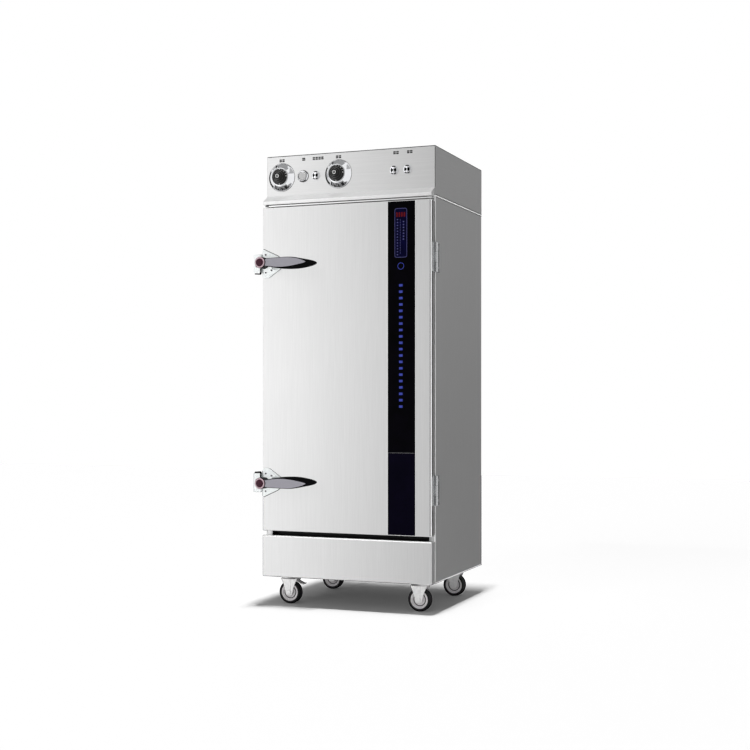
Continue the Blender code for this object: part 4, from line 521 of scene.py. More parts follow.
# Drawn trim beside the strip and over the door, brighter than the ground sheet
TRIM_STEEL = speckled("bright_trim", "#FDFDFD", "#FAFAFA", 0.3, 8 * MM, 0.0, 1.0, 0.02)
# Satin stainless of the lip over the door, a little milkier than the ground sheet
SATIN_STEEL = speckled("satin_stainless", "#F0F0F0", "#ECECEC", 0.45, 14 * MM, 0.0, 0.93, 0.02)
# Passivated stainless of the latch plates and keepers: satin and almost white
PALE_STEEL = speckled("passivated_stainless", "#EEF1F1", "#E2E6E6", 0.36, 5 * MM, 0.03 * MM, 0.5)
# Zinc plated screws of the latch plates: grey spots on the pale plate
DARK_SCREW = speckled("zinc_screw", "#8C878A", "#757075", 0.38, 2 * MM, 0.02 * MM, 1.0)
# Moulded black rubber of the gaskets and the stop, with no shine. The same black paints shade
# and dark reflection as thin lines and rims along edges, in gaps and round parts
RUBBER_AND_SHADE = speckled("black_rubber_and_painted_shade", "#040404", "#080808", 0.6, 2 * MM, 0.04 * MM, shine=0.05)
# Glossy black of the dark patches on the lamps' chrome: painted reflection of darker
# surroundings
DARK_REFLECTION = speckled("lamp_painted_reflection", "#050506", "#08080A", 0.15, 5 * MM, spread=0.02, shine=0.1)
# Pale studio floor, which keeps only the shadow
FLOOR = new_material("studio_floor", "#F2F2F2", 0.8)[0]

CAD_FINISHES = {
    MILL_STEEL: [
        "base_pan", "face_frame", "chamber_liner", "tray_rack_left", "tray_rack_right",
        "baffle_plate",
    ],
    GROUND_UPRIGHT: ["back_panel"],
    SHEATH: ["heating_element"],
    BRASS: ["float_valve", "drain_valve"],
    COPPER: ["float_arm"],
    ZINC: ["drain_lever", "brake_pedal"],
    ENAMEL_AND_SLOT_SHADE: ["drip_gutter"],
}


def finish_cad_nodes():
    """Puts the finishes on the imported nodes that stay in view."""
    for finish, names in CAD_FINISHES.items():
        for name in names:
            for place in NODES[name].material_slots:
                place.material = finish


# Cabinet panels

LIP_HEIGHT = 17.5 * MM
LIP_LIFT = 4.2 * MM
FLARE_RISE = 24 * MM
FACE_FOLDS = mm(0, 3, 0)
LIP_FOLDS = mm(0, 3.5, 3, 1, 1, 0)
CHEEK_CORNER, CHEEK_INSET = 3 * MM, 0.5 * MM
RAIL_DROP, RAIL_RISE, RAIL_SETBACK = 4 * MM, 1 * MM, 5 * MM
STOP_SPAN, STOP_DROP, STOP_RISE, STOP_SETBACK = mm(9, 22), 2.5 * MM, 1.5 * MM, 3 * MM
DARK_LINE, DARK_LINE_INSET = 0.9 * MM, 0.2 * MM
BEAD, BEAD_INSET = 2.6 * MM, 1.6 * MM
SKIRT_BEAD = 1.9 * MM
HEM_INSET_SHARE, HEM_LINE_SHARE = 0.3, 1.6
DOOR_BEAD, DOOR_BEAD_INSET, DOOR_BEAD_DEPTH = 2.1 * MM, 2 * MM, 1.7 * MM
DOOR_SHADE_LINE_SPAN, DOOR_SHADE_LINE_END = mm(7.2, 5.4), 4 * MM
DOOR_STRIP_HALF, DOOR_STRIP_END, DOOR_STRIP_THICK = 4 * MM, 5 * MM, 0.2 * MM
DOOR_STRIP_FRONT, DOOR_STRIP_BACK = 8.5 * MM, 5 * MM


def make_panels():
    """The side panels, each with its front and back returns, and the skirt."""
    for side, way in (("left", -1), ("right", 1)):
        low, high = corners("side_panel_" + side)
        edge, inner = (high[0], low[0]) if way > 0 else (low[0], high[0])
        line = [(inner, high[1]), (edge, high[1]), (edge, low[1]), (inner, low[1])]
        panel = folded(side + "_side_sheet", line, -way * SHEET, FOLD, low[2], high[2])
        fit(panel, GROUND_UPRIGHT, "cabinet", "brushed_steel", "side_panel_" + side)
    skirt = tray("skirt_sheet", *corners("skirt_panel"), FOLD, SHEET, FOLD)
    fit(skirt, GROUND_UPRIGHT, "cabinet", "brushed_steel", "skirt_panel")


def make_hood():
    """The hood: a sheet bent over the cabinet, a back plate, and a white bead along its hem,
    which is a painted highlight, between two thin black lines."""
    low, high = corners("top_hood")
    line = [(low[0], low[2]), (low[0], high[2]), (high[0], high[2]), (high[0], low[2])]
    shell = folded("hood_shell", line, -SHEET, FOLD, low[1], high[1], along="y")
    middle, half = (low + high) / 2, (high - low) / 2
    outline = rectangle(half[0] - SHEET, half[2] - SHEET, 2 * MM)
    place = (middle[0], high[1], middle[2] - SHEET / 2)
    back = flat("hood_back", outline, -SHEET, 0, place, "back", 0.2 * MM)
    hood = joined("hood_sheet", shell, back)
    fit(hood, GROUND_DEEP, "cabinet", "brushed_steel", "top_hood")
    # A white bead along the hem: a painted highlight
    hem = hoop(low, high, low[2], BEAD, HEM_INSET_SHARE * BEAD)
    fit(joined("hood_hem_highlight", hem), HIGHLIGHT_WHITE, "cabinet", "brushed_steel")
    dark_lines = [hoop(low, high, low[2] + way * HEM_LINE_SHARE * BEAD, DARK_LINE, 0) for way in (-1, 1)]
    fit(joined("hood_dark_lines", *dark_lines), RUBBER_AND_SHADE, "cabinet", "rubber")


def hoop(low, high, z, radius, inset):
    """A bar at one height along the left side, the back and the right side of a box."""
    x0, x1, y1 = low[0] + inset, high[0] - inset, high[1] - inset
    path = soften([(x0, low[1]), (x0, y1), (x1, y1), (x1, low[1])], FOLD)
    return bar("hoop", np.column_stack([path, np.full(len(path), z)]), radius)


def make_fascia():
    """The control panel: a sheet folded out to the lip over the door, its end cheeks, the
    bright rail under the lip with a rubber stop, and thin black lines along the panel's and the
    hood's edges, which paint the dark reflection in their folds."""
    low, high = corners("control_fascia")
    lip, lip_low, lip_top = low[1], low[2] + LIP_LIFT, low[2] + LIP_HEIGHT
    flare_top = lip_top + FLARE_RISE
    shelf = HOOD_LOW.z + GAP
    line = [
        (high[1], high[2]), (FACE_Y, high[2]), (FACE_Y, flare_top), (lip, lip_top),
        (lip, lip_low), (FACE_Y - GAP, lip_low), (FACE_Y - GAP, shelf), (high[1], shelf),
    ]
    span = (low[0], high[0], "x")
    shell = folded("fascia_sheet", line[:3], SHEET, FACE_FOLDS, *span)
    fit(shell, GROUND_ACROSS, "cabinet", "brushed_steel", "control_fascia")
    shell = folded("lip_shell", line[2:], SHEET, LIP_FOLDS, *span)
    cheek = anticlockwise(soften(line[2:6], CHEEK_CORNER, closed=True))
    cheek = offset(cheek, CHEEK_INSET, closed=True)
    ends = [
        flat("cheek", cheek, *depths, (x, 0, 0), "right", 0.2 * MM)
        for x, depths in ((low[0], (GAP, SHEET + GAP)), (high[0], (-SHEET - GAP, -GAP)))
    ]
    fit(joined("fascia_lip", shell, *ends), SATIN_STEEL, "cabinet", "satin_steel")
    rail = upright_plate(
        "fascia_rail", low[0], high[0], low[2] - RAIL_DROP, low[2] + RAIL_RISE,
        0, FACE_Y - lip - RAIL_SETBACK, FACE_Y, 1 * MM, 0.8 * MM,
    )
    fit(rail, TRIM_STEEL, "cabinet", "brushed_steel")
    # Black lines up the right corner and along the top edges: painted dark reflection in the folds
    edge_x, edge_z = HOOD_HIGH.x - DARK_LINE_INSET, HOOD_HIGH.z - DARK_LINE
    dark_lines = [
        post(edge_x, FACE_Y - 0.3 * MM, flare_top, high[2], DARK_LINE),
        run([(x, FACE_Y - 0.1 * MM, edge_z) for x in (low[0] + MM, high[0])], DARK_LINE),
        run([(edge_x, y, edge_z) for y in (FACE_Y, HOOD_HIGH.y - 4 * MM)], DARK_LINE),
    ]
    fit(joined("fascia_edge_shade_lines", *dark_lines), RUBBER_AND_SHADE, "cabinet", "rubber")
    stop = upright_plate(
        "lip_stop", *(low[0] + STOP_SPAN), low[2] - STOP_DROP, low[2] + STOP_RISE,
        0, FACE_Y - lip - STOP_SETBACK, FACE_Y, 1 * MM, 0.5 * MM,
    )
    fit(stop, RUBBER_AND_SHADE, "cabinet", "rubber")


def run(ends, radius):
    """A straight round bar between two points."""
    start, end = np.array(ends, float)
    return bar("run", start + (end - start) * np.linspace(0, 1, 3)[:, None], radius)


def post(x, y, low, high, radius):
    """An upright round bar."""
    return run([(x, y, low), (x, y, high)], radius)


def upright_plate(name, x0, x1, z0, z1, low, high, y, corner=0.6 * MM, edge=0.25 * MM):
    """A flat plate on the front, from x0 to x1 and z0 to z1."""
    outline = rectangle((x1 - x0) / 2, (z1 - z0) / 2, corner, 3)
    return flat(name, outline, low, high, ((x0 + x1) / 2, y, (z0 + z1) / 2), "front", edge)


def make_beads():
    """White beads down the body's front corners, along the skirt's top and the side panels'
    feet, and down the door's hinge edge, which are painted highlights, with black lines beside
    the door's one and on its side, which are painted shade."""
    low, high = corners("side_panel_right")
    left, _ = corners("side_panel_left")
    skirt_low, skirt_high = corners("skirt_panel")
    # The beads are painted highlights along the body's edges
    edges = (left[0] + BEAD_INSET, high[0] - BEAD_INSET)
    ledge, foot = skirt_high[2] + GAP, low[2] + BEAD_INSET
    beads = [post(x, low[1] + BEAD_INSET / 2, ledge, high[2] - 2 * MM, BEAD) for x in edges]
    beads.append(post(high[0] - MM, low[1] + MM, foot, ledge, SKIRT_BEAD))
    for x in edges:
        beads.append(run([(x, y, foot) for y in (low[1] + 3 * MM, high[1] - 2 * MM)], BEAD))
    y, z = skirt_low[1] + BEAD_INSET, skirt_high[2] - BEAD_INSET / 2
    ends = (skirt_low[0] + 2 * MM, skirt_high[0] - 2 * MM)
    beads.append(run([(x, y, z) for x in ends], BEAD))
    fit(joined("body_highlight_beads", *beads), HIGHLIGHT_WHITE, "cabinet", "brushed_steel")

    low, high = corners("door_skin")
    x, y = high[0] - DOOR_BEAD_INSET, low[1] + DOOR_BEAD_DEPTH
    edge = post(x, y, low[2] + 3 * MM, high[2] - 3 * MM, DOOR_BEAD)
    fit(joined("door_edge_highlight", edge), HIGHLIGHT_WHITE, "door", "brushed_steel")
    # A black line on the door's front beside its bead and two on its side: painted shade along the
    # edge and the gap
    shade_line = upright_plate(
        "door_edge_shade_line", *(high[0] - DOOR_SHADE_LINE_SPAN), low[2] + DOOR_SHADE_LINE_END,
        high[2] - DOOR_SHADE_LINE_END, -INK, INK, low[1], 0.5 * MM, INK / 2,
    )
    outline = rectangle(DOOR_STRIP_HALF, (high[2] - low[2]) / 2 - DOOR_STRIP_END, 1 * MM, 2)
    z = (low[2] + high[2]) / 2
    shade_strips = [
        flat("strip", outline, -INK, DOOR_STRIP_THICK, (high[0], y, z), "right", INK / 2)
        for y in (low[1] + DOOR_STRIP_FRONT, high[1] - DOOR_STRIP_BACK)
    ]
    fit(joined("door_edge_shade_strips", shade_line, *shade_strips), RUBBER_AND_SHADE, "door", "rubber")


# Generic printed marks over each control: groups of pairs of short bars
MARK_RISE = 66 * MM
MARK_PITCH = 12 * MM
MARK_SPLIT = 3.1 * MM
MARK_HALF, LONE_MARK_HALF, MARK_HALF_HEIGHT = 5 * MM, 6.6 * MM, 2.5 * MM
MARKED = {
    "timer_knob": (2, 0),
    "start_button": (1, 3 * MM),
    "lamp_heat": (4, 9.7 * MM),
    "thermostat_knob": (2, 0),
    "lamp_work": (2, 8 * MM),
    "lamp_power": (2, 9 * MM),
}


def make_marks():
    """The bars over the controls, each control with its count and its shift to the right."""
    bars = []
    for control, (count, shift) in MARKED.items():
        low, high = corners(control)
        middle = (low[0] + high[0]) / 2 + shift
        half = LONE_MARK_HALF if count == 1 else MARK_HALF
        outline = rectangle(half, MARK_HALF_HEIGHT, 0.6 * MM, 2)
        for k in range(count):
            x = middle + (k - (count - 1) / 2) * MARK_PITCH
            for split in (-MARK_SPLIT, MARK_SPLIT):
                place = (x, FACE_Y, CONTROL_Z + MARK_RISE + split)
                bars.append(flat("mark", outline, -INK, INK, place, "front", INK / 2, 1))
    fit(joined("panel_marks", *bars), BLACK_INK_AND_SHADE, "cabinet", "black_plastic")


# Door

STRIP_SEAM_Z = 0.6059
TRIM, TRIM_SHARE = 3.6 * MM, 0.8
SEAL_WIDTH, SEAL_FOLD, SEAL_CORNER = 17 * MM, 1.6 * MM, 24 * MM
# The seal's section: shares of its width and of its depth, which runs from its front
SEAL_SECTION = [(0, 0), (1, 0), (1, 0.35), (0.72, 0.4), (0.6, 1), (0.25, 1), (0, 0.5)]

# Prints on the strip: a frame, a field inside it, and the rest placed from the frame's sides
PRINT_X, PRINT_Z = mm(213.6, 263.4), mm(1341.2, 1526.7)
PRINT_LINE, PRINT_CORNER, FIELD_CORNER = 1.9 * MM, 8 * MM, 6 * MM
# Columns of dots: place right of the frame's left side, width, height, pitch, place above its foot
DOT_COLUMNS = mm((9, 5, 4, 11, 9), (22, 1.6, 7, 9.5, 14), (33, 5.5, 5, 11, 66))
DOTS_TOP = 44 * MM
RED_START, RED_END, RED_PITCH, RED_DROP, RED_WIDTH, RED_HEIGHT = mm(6, 10, 10, 33, 6.6, 18)
RING_Z, RING_RADIUS = 1309 * MM, 13 * MM
DASH_SPAN, DASH_PITCH, DASH_WIDTH, DASH_HEIGHT = mm(776, 1256), 24 * MM, 14 * MM, 9 * MM


def make_door():
    """The door's outer sheet and inner pan, its seal and its trim strip."""
    skin = tray("door_outer_sheet", *corners("door_skin"), DOOR_FOLD, SHEET, DOOR_FOLD)
    fit(skin, GROUND_UPRIGHT, "door", "brushed_steel", "door_skin")
    ends = corners("door_inner_pan")
    pan = tray("door_inner_sheet", *ends, DOOR_FOLD, SHEET, DOOR_FOLD, "back")
    fit(pan, MILL_STEEL, "door", "satin_steel", "door_inner_pan")
    make_gasket()
    make_strip()


def framed(name, middle, half, corner, section):
    """A closed section of (inset, y) points, carried round a rounded rectangle on the front."""
    rows = []
    for inset, y in section:
        ring = rectangle_row(*middle, *(half - inset), corner - inset, 8)
        rows.append(np.insert(ring, 1, y, axis=1))
    return loft(name, rows, ring=True)


def make_gasket():
    """The door's seal: a section with a soft bulb, carried round the opening."""
    low, high = corners("door_gasket")
    bulb = np.array(SEAL_SECTION) * (SEAL_WIDTH, high[1] - low[1]) + (0, low[1])
    section = soften(bulb, SEAL_FOLD, 4, closed=True)
    middle, half = (low + high) / 2, (high - low) / 2
    seal = framed("door_seal", middle[[0, 2]], half[[0, 2]], SEAL_CORNER, section)
    fit(seal, SILICONE, "door", "white_silicone", "door_gasket")


def make_strip():
    """The trim strip: an upper and a lower panel of acrylic, bright edges and generic marks."""
    low, high = corners("door_strip")
    back, thick = high[1], high[1] - low[1]
    upper = upright_plate(
        "strip_upper", low[0], high[0], STRIP_SEAM_Z + GAP, high[2], 0, thick, back
    )
    fit(upper, ACRYLIC, "door", "black_acrylic", "door_strip")
    lower = upright_plate(
        "strip_lower", low[0] + GAP, high[0] + GAP, low[2], STRIP_SEAM_Z - GAP, 0, thick, back
    )
    fit(lower, NAVY_ACRYLIC, "door", "black_acrylic")
    trims = [
        upright_plate("trim", x, x + TRIM, low[2], high[2], 0, TRIM_SHARE * thick, back)
        for x in (low[0] - GAP - TRIM, high[0] + 2 * GAP)
    ]
    fit(joined("strip_trims", *trims), TRIM_STEEL, "door", "brushed_steel")
    make_prints(low[1])


def printed(name, x, z, wide, tall, face, corner=MM, lift=INK):
    """A bar of ink on the strip's face, from x rightwards and from z upwards."""
    return upright_plate(name, x, x + wide, z, z + tall, -INK, lift, face, corner, lift / 2)


def make_prints(face):
    """The inks on the strip: a frame with dots and red bars on a field, a ring and dashes."""
    (x0, x1), (z0, z1) = PRINT_X, PRINT_Z
    line = PRINT_LINE
    middle, half = np.array([x0 + x1, z0 + z1]) / 2, np.array([x1 - x0, z1 - z0]) / 2
    section = [(0, face + INK), (0, face - INK), (line, face - INK), (line, face + INK)]
    outline = framed("print_frame", middle, half, PRINT_CORNER, section)
    fit(outline, DIM_INK, "door", "black_acrylic")
    dots = [
        printed("dot", x0 + right, z, wide, tall, face)
        for right, wide, tall, pitch, above in DOT_COLUMNS
        for z in np.arange(z0 + above, z1 - DOTS_TOP, pitch)
    ]
    fit(joined("print_dots", *dots), DIM_INK, "door", "black_acrylic")
    reds = [
        printed("red", x, z1 - RED_DROP, RED_WIDTH, RED_HEIGHT, face, 2 * MM)
        for x in np.arange(x0 + RED_START, x1 - RED_END, RED_PITCH)
    ]
    fit(joined("print_reds", *reds), RED_INK, "door", "black_acrylic")
    wide, tall = 2 * (half - line)
    field = printed("print_field", x0 + line, z0 + line, wide, tall, face, FIELD_CORNER, INK / 2)
    fit(field, FIELD_INK, "door", "black_acrylic")
    inner, outer = RING_RADIUS - line, RING_RADIUS
    profile = [(inner, -INK), (outer, -INK), (outer, INK), (inner, INK)]
    dot = turned("print_ring", profile, (middle[0], face, RING_Z), "front", 48, ring=True)
    bars = [
        printed("bar", middle[0] - DASH_WIDTH / 2, z, DASH_WIDTH, DASH_HEIGHT, face)
        for z in np.arange(*DASH_SPAN, DASH_PITCH)
    ]
    fit(joined("print_bars", dot, *bars), BLUE_INK, "door", "black_acrylic")


# Controls: every profile is (radius, height over the panel's face)

BEZEL = mm(
    (3.4, 21), (34.5, 21), (44, 11.2), (53, 4.4), (55, 2.3), (55, 0.3), (53.5, 0.3), (52.6, 2.6),
    (43, 9.7), (33.6, 19.5), (10, 19.5), (10, -1.3), (26, -1.3), (26, -31.3), (3.4, -31.3),
)
BEZEL_FOLDS = mm(0, 2.2, 8, 3, 1, 0.4, 0.4, 3, 8, 1.5, 1, 0.5, 0.5, 1, 0.2)
BEZEL_FLANK = soften(BEZEL[:5], BEZEL_FOLDS[:5], 6)
BEZEL_GASKET = mm((54, 0.2), (55.9, 0.2), (55.9, 1.6), (54, 1.6))

# Patches: from and to in degrees, anticlockwise from the right, and inner and outer radius
# Painted reflection: a grey wash on the bezel's lower flank
REFLECTION_WASH = [(234, 310, 38, 53)]
# Painted reflection: black ticks below, also a plain scale, and black arcs on the left
SCALE_AND_REFLECTIONS = [
    (222, 226, 46, 52), (232, 239, 38, 52), (244, 247, 42, 52), (251, 260, 46, 52),
    (265, 268, 40, 52), (272, 280, 42, 52), (284, 287, 45, 52), (291, 304, 41, 52),
    (309, 312, 46, 52), (150, 228, 47, 54.4), (112, 120, 38, 53),
]
# Painted reflection: black arcs on the chrome collar, below, upper right and left
COLLAR_REFLECTIONS = [(238, 312, 18.6, 22), (20, 80, 20.6, 22.2), (150, 225, 17.4, 18.8)]
# Painted reflection: black patches on the lamps' domes and flanges
DOME_REFLECTIONS = [(-50, 44, 1.2, 11.6), (130, 232, 1.2, 11.6)]
FLANGE_REFLECTIONS = [(228, 262, 12.6, 16.4), (272, 312, 12.6, 16.4), (60, 120, 12.6, 16.4)]
PATCH_LIFT, PATCH_DEPTH, WASH_LIFT = 0.3 * MM, 0.5 * MM, 0.12 * MM

KNOB = mm(
    (0, 46.0), (10, 46.0), (13, 45.3), (14.2, 39.5), (19.2, 38.6), (20.6, 32.6), (25.4, 31.8),
    (26.6, 25.6), (31.8, 25.1), (32.5, 24.2), (32.5, 21.3), (3, 21.3), (3, -6.7), (0, -6.7),
)
KNOB_FOLDS = mm(0, 0.5, 1.6, 1.6, 1.8, 1.6, 1.8, 1.6, 0.8, 0.6, 0.6, 0.5, 0.5, 0)
KNOB_CAP = mm((0, 46.8), (1.2, 46.6), (1.8, 46.2), (1.8, 45.5), (0, 45.5))
# A white ring round the cap: the centre's silver ring, with its glint painted on
KNOB_GLINT_RING = mm((5.4, 45.7), (7.2, 45.7), (7.2, 46.2), (5.4, 46.2))
# Ticks on the knob's skirt: degrees, half a length and half a width in millimetres
TICKS = [(-90, 3, 1.1), (2, 3, 1.1), (24, 1.6, 0.6), (46, 3, 1.1), (68, 1.6, 0.6), (90, 3, 1.1)]
TICK_RADIUS, TICK_LOW, TICK_HIGH, TICK_CORNER = mm(29, 25.1, 25.65, 0.6)
TICK_TIP = 0.8

COLLAR = mm(
    (0, -22), (15.9, -22), (15.9, 5.2), (17.2, 6.6), (19.5, 6), (22.5, 3), (22.5, 0.3),
    (18.5, 0.3), (18.5, -25), (0, -25),
)
COLLAR_FOLDS = mm(0, 1, 0.8, 1.2, 2, 1.2, 0.3, 0.3, 1, 0)
# Painted shade: black rings in the gap round the button and round the collar's foot
COLLAR_GAP_SHADE = mm((15.6, -2), (16.6, -2), (16.6, 6.5), (15.6, 5.9))
COLLAR_FOOT_SHADE = mm((21.5, 0.2), (23.4, 0.2), (23.4, 1.5), (21.5, 1.5))
BUTTON = mm((0, 8.6), (10.5, 9.0), (13.2, 9.0), (15.5, 7.4), (15.5, -17.7), (0, -17.7))
BUTTON_FOLDS = mm(0, 4, 1.5, 1.5, 0.5, 0)

QUARTER = np.linspace(0, np.pi / 2, 9)
LAMP_DOME = np.column_stack([12 * np.sin(QUARTER), 4.3 + 3.4 * np.cos(QUARTER)]) * MM
LAMP_STEP = mm((12, 4.6))
LAMP_FLANGE = mm((12.2, 4.3), (15, 4.3), (16.6, 3.2), (17, 1.8))
LAMP_TAIL = mm((17, 0.3), (10.5, 0.3), (10.5, -25), (0, -25))


def control_place(node):
    """The middle of a control, on the panel's face."""
    low, high = corners(node)
    return ((low[0] + high[0]) / 2, FACE_Y, CONTROL_Z)


def make_dials():
    """Two dials: a spun bezel in one with the unit behind it, its scale and painted
    reflections, and its knob.
    """
    for name in ("timer", "thermostat"):
        centre = control_place(name + "_unit")
        profile = soften(BEZEL, BEZEL_FOLDS, 6, closed=True)
        unit = turned(name + "_bezel", profile, centre, "front", 96, ring=True)
        fit(unit, CHROME, "cabinet", "chrome", name + "_unit")
        unmirrored(unit, *make_scale(name, centre), *make_knob(name, centre))


def make_scale(name, centre):
    """Marks on the bezel's flank, painted reflection of darker surroundings in the chrome: a
    mottled grey wash below, black ticks there that are also a plain scale, and two black arcs
    on the left; and a thin gasket.
    """
    reflection_wash = joined(name + "_reflection_wash", *patches(REFLECTION_WASH, centre, BEZEL_FLANK, WASH_LIFT))
    fit(reflection_wash, GREY_PAINTED_REFLECTION, "cabinet", "grey_plastic")
    scale = joined(name + "_scale", *patches(SCALE_AND_REFLECTIONS, centre, BEZEL_FLANK))
    fit(scale, BLACK_INK_AND_SHADE, "cabinet", "black_plastic")
    edge = soften(BEZEL_GASKET, 0.4 * MM, 3, closed=True)
    gasket = turned(name + "_gasket", edge, centre, "front", 96, ring=True)
    fit(gasket, RUBBER_AND_SHADE, "cabinet", "rubber")
    return reflection_wash, scale, gasket


def make_knob(name, centre):
    """A ringed knob on its spindle, its metal centre, the scale ticks on its skirt, and a white
    ring round the centre, which stands for its silver ring with the glint painted on.
    """
    body = name + "_dial"
    knob = turned(name + "_grip", soften(KNOB, KNOB_FOLDS, 5), centre, "front", 96)
    fit(knob, PHENOLIC, body, "black_plastic", name + "_knob")
    metal = turned(name + "_cap", soften(KNOB_CAP, 0.35 * MM, 3), centre, "front", 48)
    fit(metal, MILL_STEEL, body, "satin_steel")
    ticks = [turned("glint_ring", KNOB_GLINT_RING, centre, "front", 48, ring=True)]
    for degrees, *half in TICKS:
        t = math.radians(degrees)
        way = np.array([math.cos(t), math.sin(t)])
        across = np.array([-way[1], way[0]])
        long, wide = mm(*half)
        outline = [
            way * (TICK_RADIUS + along * long) + across * side * wide
            for along, side in ((-1, -1), (TICK_TIP, -1), (TICK_TIP, 1), (-1, 1))
        ]
        outline = soften(outline, TICK_CORNER, 3, closed=True)
        ticks.append(flat("tick", outline, TICK_LOW, TICK_HIGH, centre, "front", INK / 2, 2))
    ticks = fit(joined(name + "_ticks_and_glint", *ticks), WHITE_INK_AND_GLINT, body, "white_silicone")
    return knob, metal, ticks


def make_button():
    """The start button in its collar, with black rings that paint the shade in the gap between
    them and round the collar's foot, and black arcs that paint the collar's dark reflection.
    """
    centre = control_place("button_collar")
    ring = turned("button_ring", soften(COLLAR, COLLAR_FOLDS, 5), centre, "front")
    fit(ring, CHROME, "cabinet", "chrome", "button_collar")
    button = turned("button_face", soften(BUTTON, BUTTON_FOLDS, 5), centre, "front")
    fit(button, ABS_GREY, "button", "grey_plastic", "start_button")
    marks = patches(COLLAR_REFLECTIONS, centre, COLLAR[3:7])
    for profile in (COLLAR_GAP_SHADE, COLLAR_FOOT_SHADE):
        marks.append(turned("ring", profile, centre, "front", ring=True))
    fit(joined("button_painted_shade", *marks), BLACK_INK_AND_SHADE, "cabinet", "black_plastic")


def patches(table, centre, profile, lift=PATCH_LIFT):
    """Patches on a turned front: printed marks, and painted reflection and shade.

    Their points are centre + r (cos t, sin t) at height h(r), where h is read from the
    profile, from a little inside the surface to the lift above it.
    """
    pieces = []
    for start, end, *radii in table:
        t = np.radians(np.linspace(start, end, 13))
        r = np.linspace(*mm(*radii), 7)
        rows = []
        for raise_by, places in ((-PATCH_DEPTH, r), (lift, r[::-1])):
            height = np.interp(places, *profile.T) + raise_by
            across = places[:, None] * np.cos(t)
            depth = np.broadcast_to(-height[:, None], across.shape)
            rows.append(np.stack([across, depth, places[:, None] * np.sin(t)], axis=-1))
        grid = np.asarray(centre, float) + np.concatenate(rows)
        pieces.append(loft("patch", grid.transpose(1, 0, 2)))
    return pieces


def make_lamps():
    """Panel lamps: a bright dome with two black patches, on a flange with three more, which
    paint the chrome's dark reflection.
    """
    for name in ("lamp_heat", "lamp_work", "lamp_power"):
        centre = control_place(name)
        body = np.concatenate([LAMP_DOME[:-1], LAMP_STEP, LAMP_FLANGE, LAMP_TAIL])
        lamp = turned(name + "_body", body, centre, "front", 64)
        fit(lamp, CHROME, "cabinet", "chrome", name)
        reflection_patches = patches(DOME_REFLECTIONS, centre, LAMP_DOME)
        reflection_patches += patches(FLANGE_REFLECTIONS, centre, LAMP_FLANGE)
        fit(joined(name + "_dark_reflections", *reflection_patches), DARK_REFLECTION, "cabinet", "black_acrylic")


# Fasteners, hinges and latches

# A screw's head: shares of its radius, and the half width and reach of its cross recess
HEAD_SHARES = np.array([0.0, 1.0, 1.0, 0.97, 0.9, 0.72, 0.6, 0.5, 0.36, 0.2, 0.12, 0.0])
RECESS_HALF, RECESS_REACH, RECESS_DEPTH = 0.13, 0.55, 0.7
HEAD_SINK, HEAD_RIM = 0.2, 0.15


def screw(radius, rise, centre, facing, sides=24):
    """A pan-head screw: its height is rise sqrt(1 - 0.8 (r / R)^2), less a cross recess."""
    right, up, out = (np.array(v, float) for v in FACINGS[facing])
    t = 2 * np.pi * np.arange(sides) / sides
    r = HEAD_SHARES[:, None] * radius
    u, v = r * np.cos(t), r * np.sin(t)
    height = rise * np.sqrt(1 - 0.8 * HEAD_SHARES**2)[:, None] * np.ones(sides)
    height[:2] = -HEAD_SINK * rise
    height[2] = HEAD_RIM * rise
    wide, far = RECESS_HALF * radius, RECESS_REACH * radius
    cross = ((abs(v) < wide) & (abs(u) < far)) | ((abs(u) < wide) & (abs(v) < far))
    height[3:] -= np.where(cross[3:], RECESS_DEPTH * rise, 0)
    grid = u[..., None] * right + v[..., None] * up + height[..., None] * out
    return loft("screw", np.asarray(centre, float) + grid)


BARREL, BARREL_EDGE, HINGE_PIN, HINGE_PIN_END = mm(6, 0.5, 3.2, 0.8)
LEAF_THICK, LEAF_PLAY, LEAF_EDGE = mm(2, 0.5, 0.4)
HINGE_SCREW = mm(4, 1.4)
MIDDLE_SHARE = 0.18
FRAME_LEAF_FOLDS = mm(0.2, 5, 5, 0.2, 0.2, 1, 1, 0.2)
DOOR_LEAF_FOLDS = mm(5, 0.4, 1, 0.2, 0.2, 1, 0.4, 5)
FRAME_SCREWS, DOOR_SCREWS = mm((-11, -38), (-22, 0), (-11, 38)), mm((10, -40), (14, 0), (10, 40))


def knuckle(low, high, x, y, radius):
    """An upright barrel with broken edges."""
    edge = BARREL_EDGE
    profile = [
        (0, low), (radius - edge, low), (radius, low + edge), (radius, high - edge),
        (radius - edge, high), (0, high),
    ]
    return turned("knuckle", profile, (x, y, 0), "up", 40)


def hinge_leaf(line, folds, x):
    """A hinge's leaf, which faces right, from its outline's (y, z) points."""
    outline = soften(line, folds, 4, closed=True)
    return flat("leaf", outline, 0, LEAF_THICK, (x, 0, 0), "right", LEAF_EDGE)


